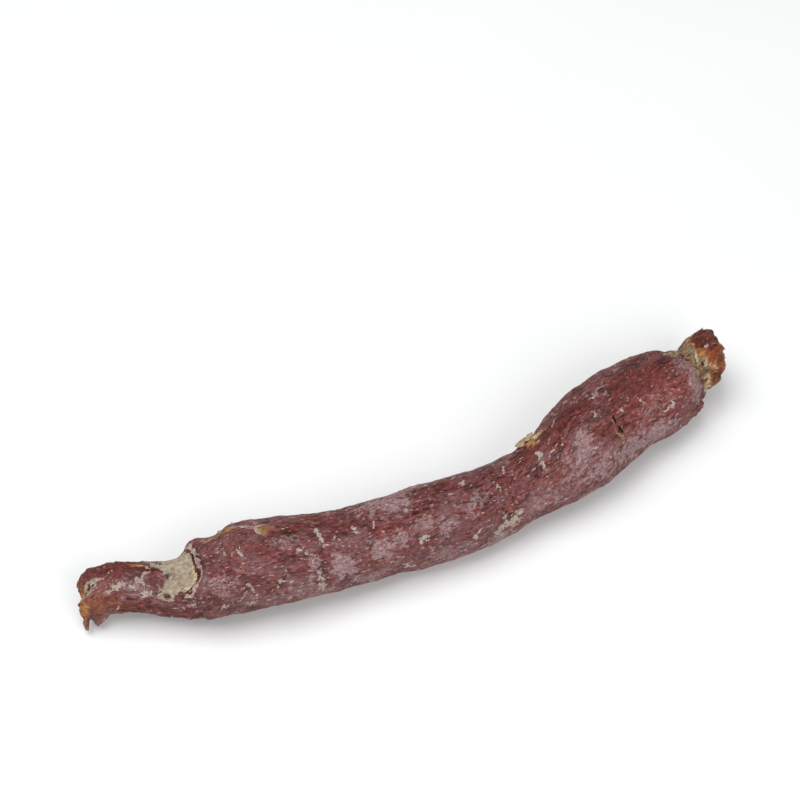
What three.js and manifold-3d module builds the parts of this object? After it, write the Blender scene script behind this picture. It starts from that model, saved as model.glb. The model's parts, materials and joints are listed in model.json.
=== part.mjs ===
// A steamed and dried red ginseng root, lying on its side.
// Millimetres, +Z up. The root's length runs along X, its thin torn end at -X, its bud end at +X.
// The root is one grown piece: swept limbs are joined in one solid, then chips and a slit are cut out.

import * as THREE from "three";
import { mergeVertices } from "three/addons/utils/BufferGeometryUtils.js";
import Module from "manifold-3d";

const wasm = await Module();
wasm.setup();

// ---- Driving dimensions ----------------------------------------------------------------------

// Stations of a limb, one after the other: [along, sideways, height of the centre, radius].
const BODY = [
  [-51.8, -2.7, 7.8, 7.4], [-49, -2.4, 8.1, 8.1], [-46.6, -2.2, 8.5, 8.5], [-43.5, -2.2, 8.9, 9],
  [-39.5, -2.3, 9.2, 9.4], [-35, -3.1, 9.3, 9.3], [-29.5, -4.1, 9.1, 9], [-24.5, -4.5, 8.7, 8.6],
  [-18.5, -5, 8.2, 8.2], [-12, -5.2, 8.2, 8.3], [-5, -5.5, 8.3, 8.5], [3, -5.6, 8.4, 8.6],
  [10, -5.4, 8.4, 8.4], [15.5, -4.6, 8.3, 7.9], [20, -3.8, 8.3, 7.5], [24.5, -3.3, 8.6, 7.7],
  [30, -2.2, 9.1, 8.6], [35.5, 0.2, 9.6, 9.9], [41.5, 2.9, 9.8, 10.1], [47.5, 5.6, 9.7, 9.9],
  [54, 7.2, 9.4, 9.5], [60, 8.1, 9.1, 9], [63.2, 8.8, 9, 8.2], [65.2, 9.7, 9.1, 7],
];
const TAIL = [
  [-72.4, 4.8, 7.2, 5], [-69, 4, 7.2, 5.3], [-64.5, 2.5, 7.2, 5.4], [-60, 0.8, 7.2, 5.6],
  [-55.5, -1.2, 7.4, 6.4], [-51, -2.4, 7.7, 6.9],
];
const BUD = [
  [66.5, 12, 10.6, 4.2], [69, 11.7, 11, 5.1], [71.4, 11, 11.2, 5.9], [73.4, 10.4, 11.3, 5.9],
];
const LONG_TOOTH = [[-72.6, 3, 6, 2.5], [-73.8, 1.1, 4.2, 1.8], [-74.6, -0.6, 2.6, 0.8]];
const SHORT_TOOTH = [[-71.2, 1.6, 5, 2.6], [-72.2, 0, 3.6, 1.7], [-72.8, -1.1, 2.7, 0.7]];
const BARK_FLAKE = [
  [20, 0.6, 13.4, 0.5], [22.8, 1.4, 14.2, 1.1], [25.4, 2.3, 15, 1.1], [27.6, 3.3, 15.8, 0.5],
];

// How far the domed ends of a limb reach past its first and its last station.
const BODY_DOMES = [1.6, 3];
const TAIL_DOMES = [2.4, 1];
const BUD_DOMES = [1, 1.4];
const SPUR_DOMES = [0.6, 0.6];

// Sides round a limb, rings from one station to the next, and rings on each domed end.
const BODY_SIDES = 40;
const LIMB_SIDES = 28;
const SPUR_SIDES = 10;
const CHIP_SIDES = 14;
const CHIP_RINGS = 10;
const RINGS_PER_STATION = 2;
const DOME_RINGS = 4;
// A dome stops short of a point, so that its last ring keeps this share of the girth.
const DOME_TRUNCATION = 0.92;

// Folds that the skin shrank into: how deep, how many round the root, their drift round it in
// radians for each millimetre along, and the length over which they sway.
const BROAD_FOLDS = { depth: 0.26, count: 3, drift: 0.05, sway: 90 };
const FINE_FOLDS = { depth: 0.14, count: 7, drift: -0.09, sway: 40 };
// Slow waves across the root: how deep, and how far apart.
const CROSS_WAVES = { depth: 0.12, pitch: 10 };
const TAIL_FOLD_SHARE = 0.6;

// Where the outer bark is missing behind the body's left end: how thick it is, where the bare
// stretch begins and ends, how far it fades in, and its bearing and spread round the body.
const PEELED = { depth: 0.7, start: -48, end: -41.4, fade: 4, edge: 0.9, bearing: -1.1, spread: 0.8 };

// Small swellings: how high, where along the root, how long, their bearing and their spread round it.
const SWELLINGS = [
  { height: 0.3, at: 41, length: 4.5, bearing: -1.2, spread: 0.7 },
  { height: 0.35, at: 18.5, length: 3, bearing: 1.6, spread: 0.5 },
  { height: 0.5, at: 69.5, length: 1.8, bearing: 1.5, spread: 0.35 },
];

// Broken ends: how ragged they are, and the length over which the raggedness grows.
const RAGGED_EDGE = 0.5;
const TORN_TIP = { at: -74.5, length: 2, ribs: 5 };
const BROKEN_BUD = { from: 64, to: 74, ribs: 4, fineRibs: 9 };

// Chips cut out of the root: the ellipsoid's middle and half sizes, its turn about the vertical,
// and the tilt that lowers its front end first.
const TORN_PATCH = { at: [-53.8, -1, 15.1], size: [5, 4.6, 2.7], turn: -0.2, tilt: 0 };
const TIP_NOTCH = { at: [-75.3, 4.9, 8.2], size: [1.2, 0.8, 1.6], turn: 0, tilt: 0 };
const BUD_SPLIT = { at: [74.2, 11.8, 15.6], size: [2, 0.9, 2], turn: 0.3, tilt: 0 };
const SLIT = { at: [43.9, -1.7, 18.8], size: [2.3, 0.36, 1], turn: -1.32, tilt: 0.44 };

// Everything below this height is pressed flat, where the root has lain while it dried.
const RESTING_HEIGHT = 0;
const CLEARANCE_BOX = [190, 80, 60];
// Points closer together than this are one point.
const WELD = 1e-3;

// ---- Solids ----------------------------------------------------------------------------------

/** Joins a geometry's shared points, so that only a closed surface of positions is left. */
function weld(geometry) {
  geometry.deleteAttribute("normal");
  geometry.deleteAttribute("uv");
  return mergeVertices(geometry, WELD);
}

/** Turns a closed three.js geometry into a solid that can be joined and cut. */
function toSolid(geometry) {
  const surface = weld(geometry);
  return new wasm.Manifold(new wasm.Mesh({
    numProp: 3,
    vertProperties: new Float32Array(surface.attributes.position.array),
    triVerts: new Uint32Array(surface.index.array),
  }));
}

/** Turns a solid back into a three.js geometry. */
function toGeometry(solid) {
  const mesh = solid.getMesh();
  const geometry = new THREE.BufferGeometry();
  geometry.setAttribute("position", new THREE.BufferAttribute(mesh.vertProperties, 3));
  geometry.setIndex(new THREE.BufferAttribute(mesh.triVerts, 1));
  return geometry;
}

/** The smooth line through the stations' centres. */
function spineOf(stations) {
  return new THREE.CatmullRomCurve3(stations.map(([x, y, z]) => new THREE.Vector3(x, y, z)));
}

/** The smooth line through the stations' radii, which is read at the same share as the spine. */
function girthOf(stations) {
  return new THREE.CatmullRomCurve3(stations.map(([x, , , r]) => new THREE.Vector3(x, r, 0)));
}

/**
 * Where a ring lies: its share of the spine, how far it stands off the spine's end in a dome,
 * and the share of the girth that is left there.
 */
function ringPlace(ring, rings, domes) {
  const past = Math.max(DOME_RINGS - ring, ring - (rings - DOME_RINGS), 0) / DOME_RINGS;
  const share = (ring - DOME_RINGS) / (rings - 2 * DOME_RINGS);
  const outwards = ring < DOME_RINGS ? -domes[0] : domes[1];
  return {
    share: THREE.MathUtils.clamp(share, 0, 1),
    offset: outwards * past,
    fullness: Math.sqrt(1 - DOME_TRUNCATION * past * past),
  };
}

/**
 * Sweeps a limb: a closed cylinder whose rings are carried to the spine and take its girth.
 * The angle round the limb is 0 at the top, a quarter turn at the front (-Y).
 * relief(along, angle) gives how far the skin stands out there.
 */
function sweepLimb(stations, domes, sides, relief) {
  const spine = spineOf(stations);
  const girth = girthOf(stations);
  const rings = (stations.length - 1) * RINGS_PER_STATION + 2 * DOME_RINGS;
  const geometry = new THREE.CylinderGeometry(1, 1, 1, sides, rings);
  const points = geometry.attributes.position;
  for (let i = 0; i < points.count; i += 1) {
    const ring = Math.round((points.getY(i) + 0.5) * rings);
    const { share, offset, fullness } = ringPlace(ring, rings, domes);
    const reach = Math.hypot(points.getX(i), points.getZ(i));
    const angle = Math.atan2(points.getX(i), points.getZ(i));
    const tangent = spine.getTangent(share);
    const place = spine.getPoint(share).addScaledVector(tangent, offset);
    const front = new THREE.Vector3().crossVectors(tangent, new THREE.Vector3(0, 0, 1)).normalize();
    const up = new THREE.Vector3().crossVectors(front, tangent);
    const radius = reach * fullness * (girth.getPoint(share).y + relief(place.x, angle));
    place.addScaledVector(up, Math.cos(angle) * radius);
    place.addScaledVector(front, Math.sin(angle) * radius);
    points.setXYZ(i, place.x, place.y, place.z);
  }
  return toSolid(geometry);
}

/** A hollow's cutter: a smooth ellipsoid, tilted and then turned about the vertical. */
function chip({ at, size, turn, tilt }) {
  const geometry = new THREE.SphereGeometry(1, CHIP_SIDES, CHIP_RINGS);
  geometry.scale(...size);
  geometry.rotateY(tilt);
  geometry.rotateZ(turn);
  geometry.translate(...at);
  return toSolid(geometry);
}

// ---- Relief of the skin ----------------------------------------------------------------------

/** How far one kind of lengthwise fold stands out. */
function lengthwiseFolds({ depth, count, drift, sway }, along, angle) {
  return depth * Math.sin(count * angle + drift * along + Math.sin((2 * Math.PI * along) / sway));
}

/** Shrinkage: broad and fine folds along the root, and slow waves across it. */
function shrinkage(along, angle) {
  const broad = lengthwiseFolds(BROAD_FOLDS, along, angle);
  const fine = lengthwiseFolds(FINE_FOLDS, along, angle);
  const phase = (2 * Math.PI * along) / CROSS_WAVES.pitch + Math.sin(angle);
  return broad + fine + CROSS_WAVES.depth * Math.sin(phase) * Math.cos(2 * angle);
}

/** A rounded swelling, which fades over its length and its spread. */
function swelling({ height, at, length, bearing, spread }, along, angle) {
  const aside = Math.atan2(Math.sin(angle - bearing), Math.cos(angle - bearing));
  return height * Math.exp(-(((along - at) / length) ** 2) - (aside / spread) ** 2);
}

/** The bark layer that has peeled off the back of the body's left end, which leaves a step. */
function peeledBark(along, angle) {
  const { depth, start, end, fade, edge, bearing, spread } = PEELED;
  const fadeIn = THREE.MathUtils.smoothstep(along, start, start + fade);
  const stepUp = 1 - THREE.MathUtils.smoothstep(along, end - edge, end);
  return -depth * fadeIn * stepUp * Math.exp(-(((angle - bearing) / spread) ** 4));
}

/** The body's relief: shrinkage, the peeled bark, and small swellings. */
function bodyRelief(along, angle) {
  let relief = shrinkage(along, angle) + peeledBark(along, angle);
  for (const spot of SWELLINGS) {
    relief += swelling(spot, along, angle);
  }
  return relief;
}

/** The tail's relief: smaller folds, with a ragged rim at its torn tip. */
function tailRelief(along, angle) {
  const torn = Math.exp(-(((along - TORN_TIP.at) / TORN_TIP.length) ** 2));
  const rim = RAGGED_EDGE * torn * Math.sin(TORN_TIP.ribs * angle + 1);
  return TAIL_FOLD_SHARE * shrinkage(along, angle) + rim;
}

/** The bud stump's relief: coarse ribs that grow towards its broken end. */
function budRelief(along, angle) {
  const growth = THREE.MathUtils.smoothstep(along, BROKEN_BUD.from, BROKEN_BUD.to);
  const ribs = Math.sin(BROKEN_BUD.ribs * angle) + 0.6 * Math.sin(BROKEN_BUD.fineRibs * angle);
  return RAGGED_EDGE * growth * ribs;
}

/** A spur has no folds of its own. */
function smooth() {
  return 0;
}

// ---- The root --------------------------------------------------------------------------------

/** Joins the limbs, cuts the chips and flattens the spots that the root lies on. */
function growRoot() {
  const limbs = [
    sweepLimb(TAIL, TAIL_DOMES, LIMB_SIDES, tailRelief),
    sweepLimb(BUD, BUD_DOMES, LIMB_SIDES, budRelief),
    sweepLimb(LONG_TOOTH, SPUR_DOMES, SPUR_SIDES, smooth),
    sweepLimb(SHORT_TOOTH, SPUR_DOMES, SPUR_SIDES, smooth),
    sweepLimb(BARK_FLAKE, SPUR_DOMES, SPUR_SIDES, smooth),
  ];
  let root = sweepLimb(BODY, BODY_DOMES, BODY_SIDES, bodyRelief);
  for (const limb of limbs) {
    root = root.add(limb);
  }
  for (const hollow of [TORN_PATCH, TIP_NOTCH, BUD_SPLIT, SLIT]) {
    root = root.subtract(chip(hollow));
  }
  const [length, width, height] = CLEARANCE_BOX;
  const above = new THREE.BoxGeometry(length, width, height);
  above.translate(0, 0, height / 2 + RESTING_HEIGHT);
  return toGeometry(root.intersect(toSolid(above)));
}

/** Puts the origin under the middle of the geometry's box, on the surface that it lies on. */
function centreOverOrigin(geometry) {
  geometry.computeBoundingBox();
  const { min, max } = geometry.boundingBox;
  geometry.translate(-(min.x + max.x) / 2, -(min.y + max.y) / 2, -min.z);
  return geometry;
}

const driedSkin = new THREE.MeshStandardMaterial({ color: 0x7c5150, roughness: 0.72, metalness: 0 });
const ginsengRoot = new THREE.Mesh(centreOverOrigin(growRoot()), driedSkin);
ginsengRoot.name = "ginseng_root";

const part = new THREE.Group();
part.add(ginsengRoot);

export default part;
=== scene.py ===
"""Looks of a steamed and dried red ginseng root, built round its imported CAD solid.

The solid gives the root's true outer form. Its copy is remeshed into fine skin, which is then
sculpted with wrinkles, scars, a torn patch and ragged ends, and dressed with one layered finish.
Loose bark scraps and frayed fibres are separate small pieces. A mesh is in metres; the named
sizes and the places along and round the root are in millimetres and degrees.
"""

from __future__ import annotations

import json
import logging
import math
import random
from collections.abc import Iterable
from dataclasses import dataclass
from enum import Enum

import bmesh
import bpy
import numpy as np
from mathutils import Matrix, Vector, noise

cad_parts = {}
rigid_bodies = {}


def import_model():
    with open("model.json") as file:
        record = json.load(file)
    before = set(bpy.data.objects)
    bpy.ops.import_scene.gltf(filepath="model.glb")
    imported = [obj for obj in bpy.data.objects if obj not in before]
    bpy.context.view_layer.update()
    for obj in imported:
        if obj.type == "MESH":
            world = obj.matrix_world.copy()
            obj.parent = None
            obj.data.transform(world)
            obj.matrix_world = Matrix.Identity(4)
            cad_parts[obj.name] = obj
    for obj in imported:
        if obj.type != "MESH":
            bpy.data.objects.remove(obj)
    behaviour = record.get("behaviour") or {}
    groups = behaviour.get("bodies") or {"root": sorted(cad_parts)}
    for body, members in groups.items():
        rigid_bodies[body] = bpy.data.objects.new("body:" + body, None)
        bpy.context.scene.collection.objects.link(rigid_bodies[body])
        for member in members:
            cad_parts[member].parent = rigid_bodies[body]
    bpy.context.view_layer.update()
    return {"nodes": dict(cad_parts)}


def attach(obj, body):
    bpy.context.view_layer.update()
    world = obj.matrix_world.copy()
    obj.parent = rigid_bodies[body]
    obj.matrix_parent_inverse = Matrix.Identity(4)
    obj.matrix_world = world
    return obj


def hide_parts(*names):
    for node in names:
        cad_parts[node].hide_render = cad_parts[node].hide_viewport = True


LOG = logging.getLogger("ginseng_root")

NODE = "ginseng_root"
BODY = "root"
MM = 0.001


class Layer(Enum):
    """What lies on the skin, and the shade and light painted onto it; each value names the attribute
    that says how much of it there is.
    """

    BARE = "bare"
    RUBBED = "rubbed"
    CREASE = "crease"
    BLOOM = "bloom"
    AMBER = "amber"
    RUST = "rust"
    OLIVE = "olive"
    CORK = "cork"
    STRAW = "straw"
    RED = "red"
    SCAR = "scar"
    HOLLOW = "hollow"


# The attribute that holds where each point of the skin is once the root's bend is taken out.
STRAIGHT = "straight"

# Raw noise seldom passes two thirds of its range, so hills are drawn this much taller.
HILL_GAIN = 1.5
# How far from its middle a mark can show, in half sizes, with the most ragged border.
MARK_REACH = 2.0
# An arc's band is thin: its border is this much less ragged than a spot's, and its sides fade
# out between these shares of its half width.
ARC_RAGGED = 0.3
ARC_SIDES = (1.4, 0.6)
# How flakes vary: their scatter round the spot's middle, their lengths and widths as shares,
# the narrowest one in mm, and how clearly they show.
FLAKE_SCATTER = 0.5
FLAKE_LENGTHS = (0.4, 1.1)
FLAKE_WIDTHS = (0.25, 0.6)
FLAKE_NARROWEST = 0.22
FLAKE_STRENGTHS = (0.7, 1.1)


# ---- Small tools -----------------------------------------------------------------------------


def linear(code: str) -> tuple[float, float, float, float]:
    """Turns an sRGB hex colour into linear values.

    Args:
        code: Six hex digits after a hash sign.

    Returns:
        Red, green, blue and an alpha of 1.
    """
    channels = [int(code[i : i + 2], 16) / 255 for i in (1, 3, 5)]
    toned = [c / 12.92 if c <= 0.04045 else ((c + 0.055) / 1.055) ** 2.4 for c in channels]
    return (toned[0], toned[1], toned[2], 1.0)


def ease(low: float, high: float, value: np.ndarray) -> np.ndarray:
    """Eases from 0 at low to 1 at high; low may be the larger of the two.

    Args:
        low: Where the result is 0.
        high: Where the result is 1.
        value: The values to ease.

    Returns:
        Shares from 0 to 1.
    """
    share = np.clip((value - low) / (high - low), 0, 1)
    return share * share * (3 - 2 * share)


@dataclass(frozen=True)
class Hills:
    """Smooth random hills over the root.

    Period is how far apart they are along the root, to its front and upwards, in mm. The seed
    moves the pattern to another part of the noise, and each octave after the first adds hills
    that are twice as fine.
    """

    period: tuple[float, float, float]
    seed: float
    octaves: int = 1
    falloff: float = 1.0
    finer: float = 2.0

    def over(self, places: np.ndarray) -> np.ndarray:
        """Works out the hills.

        Args:
            places: Straightened places, in mm.

        Returns:
            One height for each place, from about -1 to 1.
        """
        scaled = (places / np.array(self.period) + self.seed).tolist()
        heights = (noise.fractal(place, self.falloff, self.finer, self.octaves) for place in scaled)
        return np.fromiter(heights, float, len(scaled)) * HILL_GAIN


# What makes the border of every mark on the skin ragged.
BORDER = Hills((1.3, 0.9, 0.9), 41.0, 2)


def add_node(
    tree: bpy.types.NodeTree,
    kind: str,
    settings: dict[str, object] | None = None,
    inputs: dict[str | int, object] | None = None,
) -> bpy.types.Node:
    """Adds a shader node with its settings, values and links.

    Args:
        tree: The material's node tree.
        kind: The node's type name.
        settings: Properties to set on the node.
        inputs: For each input socket, its value, or the output socket that feeds it.

    Returns:
        The new node.
    """
    node = tree.nodes.new(kind)
    for name, value in (settings or {}).items():
        setattr(node, name, value)
    for name, value in (inputs or {}).items():
        if isinstance(value, bpy.types.NodeSocket):
            tree.links.new(value, node.inputs[name])
        else:
            node.inputs[name].default_value = value
    return node


# ---- Places on the root ----------------------------------------------------------------------


@dataclass
class Spine:
    """The line down the middle of the root; measuring from it takes the root's bend out."""

    along: np.ndarray
    middles: np.ndarray

    @classmethod
    def through(cls, points: np.ndarray, step: float = 1.0, blur: float = 2.5) -> "Spine":
        """Finds the middle line of evenly spread surface points.

        Args:
            points: Surface points, in mm.
            step: How far apart the line's own points are, in mm.
            blur: How far each of them looks along the root, in mm.

        Returns:
            The spine.
        """
        along = np.arange(points[:, 0].min(), points[:, 0].max() + step, step)
        middles = []
        for place in along:
            weight = np.exp(-(((points[:, 0] - place) / blur) ** 2))
            middles.append((points[:, 1:] * weight[:, None]).sum(0) / weight.sum())
        return cls(along, np.array(middles))

    def straighten(self, points: np.ndarray) -> np.ndarray:
        """Takes the bend out.

        Args:
            points: Places in the root's frame, in mm.

        Returns:
            For each, how far it is along, to the front of the spine and above it, in mm.
        """
        sideways = np.interp(points[:, 0], self.along, self.middles[:, 0])
        height = np.interp(points[:, 0], self.along, self.middles[:, 1])
        return np.stack([points[:, 0], sideways - points[:, 1], points[:, 2] - height], axis=-1)


@dataclass
class Surface:
    """The skin's points, and where each is along and round the root.

    A bearing is the angle round the spine: 0 at the top, 90 degrees at the front (-Y). Grain is
    what makes the borders of marks ragged.
    """

    points: np.ndarray
    normals: np.ndarray
    straight: np.ndarray
    bearing: np.ndarray
    radius: np.ndarray
    grain: np.ndarray

    @classmethod
    def of(cls, mesh: bpy.types.Mesh) -> "Surface":
        """Reads a skin mesh.

        Args:
            mesh: The skin, in metres.

        Returns:
            Its surface, in mm.
        """
        count = len(mesh.vertices)
        points = np.empty(count * 3)
        normals = np.empty(count * 3)
        mesh.vertices.foreach_get("co", points)
        mesh.vertex_normals.foreach_get("vector", normals)
        points = points.reshape(-1, 3) / MM
        straight = Spine.through(points).straighten(points)
        bearing = np.arctan2(straight[:, 1], straight[:, 2])
        radius = np.hypot(straight[:, 1], straight[:, 2])
        grain = BORDER.over(straight)
        return cls(points, normals.reshape(-1, 3), straight, bearing, radius, grain)

    def at(self, along: float, bearing: float) -> tuple[Vector, Vector]:
        """Finds the skin at a place.

        Args:
            along: How far along the root, in mm.
            bearing: How far round it, in degrees.

        Returns:
            The nearest point, in mm, and which way the skin faces there.
        """
        turned = self.bearing - math.radians(bearing)
        aside = np.arctan2(np.sin(turned), np.cos(turned)) * self.radius
        nearest = int(np.argmin(np.hypot(self.straight[:, 0] - along, aside)))
        return Vector(self.points[nearest]), Vector(self.normals[nearest])

    def part(self, chosen: np.ndarray) -> "Surface":
        """Picks some of the points.

        Args:
            chosen: Which points, by number.

        Returns:
            The surface of those points alone.
        """
        return Surface(
            self.points[chosen],
            self.normals[chosen],
            self.straight[chosen],
            self.bearing[chosen],
            self.radius[chosen],
            self.grain[chosen],
        )


@dataclass(frozen=True)
class Spot:
    """A patch of skin.

    Its place is in mm along and degrees round the root, its half sizes are in mm, and its turn
    is in degrees from the root's length towards the front. Lift is how far it stands out in mm.
    """

    along: float
    bearing: float
    length: float
    width: float
    turn: float = 0.0
    lift: float = 0.0
    strength: float = 1.0
    ragged: float = 0.45
    softness: float = 0.3

    def near(self, surface: Surface) -> np.ndarray:
        """Which points are close enough along the root to be worth looking at."""
        reach = MARK_REACH * max(self.length, self.width)
        return np.flatnonzero(np.abs(surface.straight[:, 0] - self.along) < reach)

    def unrolled(self, surface: Surface) -> tuple[np.ndarray, np.ndarray]:
        """Distances from the spot's middle, as shares of its half length and half width."""
        turned = surface.bearing - math.radians(self.bearing)
        aside = np.arctan2(np.sin(turned), np.cos(turned)) * surface.radius
        ahead = surface.straight[:, 0] - self.along
        turn = math.radians(self.turn)
        lengthwise = ahead * math.cos(turn) + aside * math.sin(turn)
        crosswise = aside * math.cos(turn) - ahead * math.sin(turn)
        return lengthwise / self.length, crosswise / self.width

    def cover(self, surface: Surface) -> np.ndarray:
        """How much of the spot lies on each point, with a ragged border."""
        reach = np.hypot(*self.unrolled(surface)) + self.ragged * surface.grain
        return self.strength * ease(1 + self.softness, 1 - self.softness, reach)


@dataclass(frozen=True)
class Arc(Spot):
    """A thin band that follows part of a spot's edge.

    Start and end are the angles in degrees round the spot, 0 towards the root's thick end and 90
    towards its front. Band is half the width of the band, as a share of the spot's half size.
    """

    start: float = 0.0
    end: float = 360.0
    band: float = 0.12
    fade: float = 20.0

    def cover(self, surface: Surface) -> np.ndarray:
        """How much of the band lies on each point."""
        lengthwise, crosswise = self.unrolled(surface)
        ragged = self.ragged * ARC_RAGGED
        reach = np.abs(np.hypot(lengthwise, crosswise) + ragged * surface.grain - 1)
        span = self.end - self.start
        middle = math.radians(self.start + span / 2)
        off = np.arctan2(crosswise, lengthwise) - middle
        off = np.degrees(np.abs(np.arctan2(np.sin(off), np.cos(off))))
        within = ease(span / 2 + self.fade, span / 2, off) if span < 360 else 1.0
        outer, inner = ARC_SIDES
        return self.strength * within * ease(self.band * outer, self.band * inner, reach)


@dataclass(frozen=True)
class Flakes(Spot):
    """A spot of dead cork that has broken up into small flakes, each up to size mm long."""

    count: int = 9
    size: float = 0.75

    def cover(self, surface: Surface) -> np.ndarray:
        """How much of any flake lies on each point."""
        lengthwise, crosswise = self.unrolled(surface)
        draw = random.Random(f"{self.along} {self.bearing}")
        cover = np.zeros(len(lengthwise))
        for _ in range(self.count):
            ahead = lengthwise * self.length - draw.gauss(0, FLAKE_SCATTER) * self.length
            aside = crosswise * self.width - draw.gauss(0, FLAKE_SCATTER) * self.width
            turn = draw.uniform(0, math.pi)
            long = self.size * draw.uniform(*FLAKE_LENGTHS)
            narrow = max(FLAKE_NARROWEST, long * draw.uniform(*FLAKE_WIDTHS))
            reach = np.hypot(
                (ahead * math.cos(turn) + aside * math.sin(turn)) / long,
                (aside * math.cos(turn) - ahead * math.sin(turn)) / narrow,
            )
            shape = ease(1 + self.softness, 1 - self.softness, reach + self.ragged * surface.grain)
            cover = np.maximum(cover, shape * self.strength * draw.uniform(*FLAKE_STRENGTHS))
        return cover


@dataclass(frozen=True)
class Ball:
    """Whatever skin lies inside an egg-shaped space: its middle and half sizes are in mm."""

    middle: tuple[float, float, float]
    size: tuple[float, float, float]
    lift: float = 0.0
    strength: float = 1.0
    ragged: float = 0.45
    softness: float = 0.3

    def near(self, surface: Surface) -> np.ndarray:
        """Which points are close enough along the root to be worth looking at."""
        away = np.abs(surface.points[:, 0] - self.middle[0])
        return np.flatnonzero(away < MARK_REACH * self.size[0])

    def cover(self, surface: Surface) -> np.ndarray:
        """How much of the ball holds each point, with a ragged border."""
        reach = np.linalg.norm((surface.points - self.middle) / np.array(self.size), axis=1)
        reach = reach + self.ragged * surface.grain
        return self.strength * ease(1 + self.softness, 1 - self.softness, reach)


Mark = Spot | Ball


@dataclass(frozen=True)
class Pull:
    """Skin that is drawn aside: whatever the ball holds moves by the shift, in mm."""

    ball: Ball
    shift: tuple[float, float, float]

    def move(self, surface: Surface) -> tuple[np.ndarray, np.ndarray]:
        """Works out which points move, and how far each of them does."""
        near = self.ball.near(surface)
        return near, self.ball.cover(surface.part(near))[:, None] * np.array(self.shift)


# ---- Finishes --------------------------------------------------------------------------------


@dataclass(frozen=True)
class Grain:
    """Random shading with a real size: how far it reaches along and across the root, in mm.

    Shift moves the pattern to another part of the noise, and detail is its number of finer
    octaves.
    """

    along: float
    across: float
    shift: float
    detail: float = 3.0


@dataclass(frozen=True)
class Coat:
    """One thing that lies on or shows through the skin, laid where its attribute says.

    Its grain is in mm across the root and stretch times that along it. Breakup is how far the
    grain eats into its border, rise how high it stands in mm, and softness how blurred it is.
    """

    layer: Layer
    light: str
    dark: str
    grain: float
    stretch: float
    breakup: float
    roughness: float
    rise: float
    softness: float = 0.1
    opacity: float = 1.0


@dataclass(frozen=True)
class Crumbs:
    """Loose pale crumbs: how far apart and how big they are at most in mm, and how many show."""

    colour: str
    spacing: float
    radius: float
    scarcity: float
    opacity: float
    rise: float


@dataclass
class Stack:
    """The colour, roughness and height that the coats so far have built up."""

    colour: bpy.types.NodeSocket
    roughness: bpy.types.NodeSocket
    height: bpy.types.NodeSocket


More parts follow.
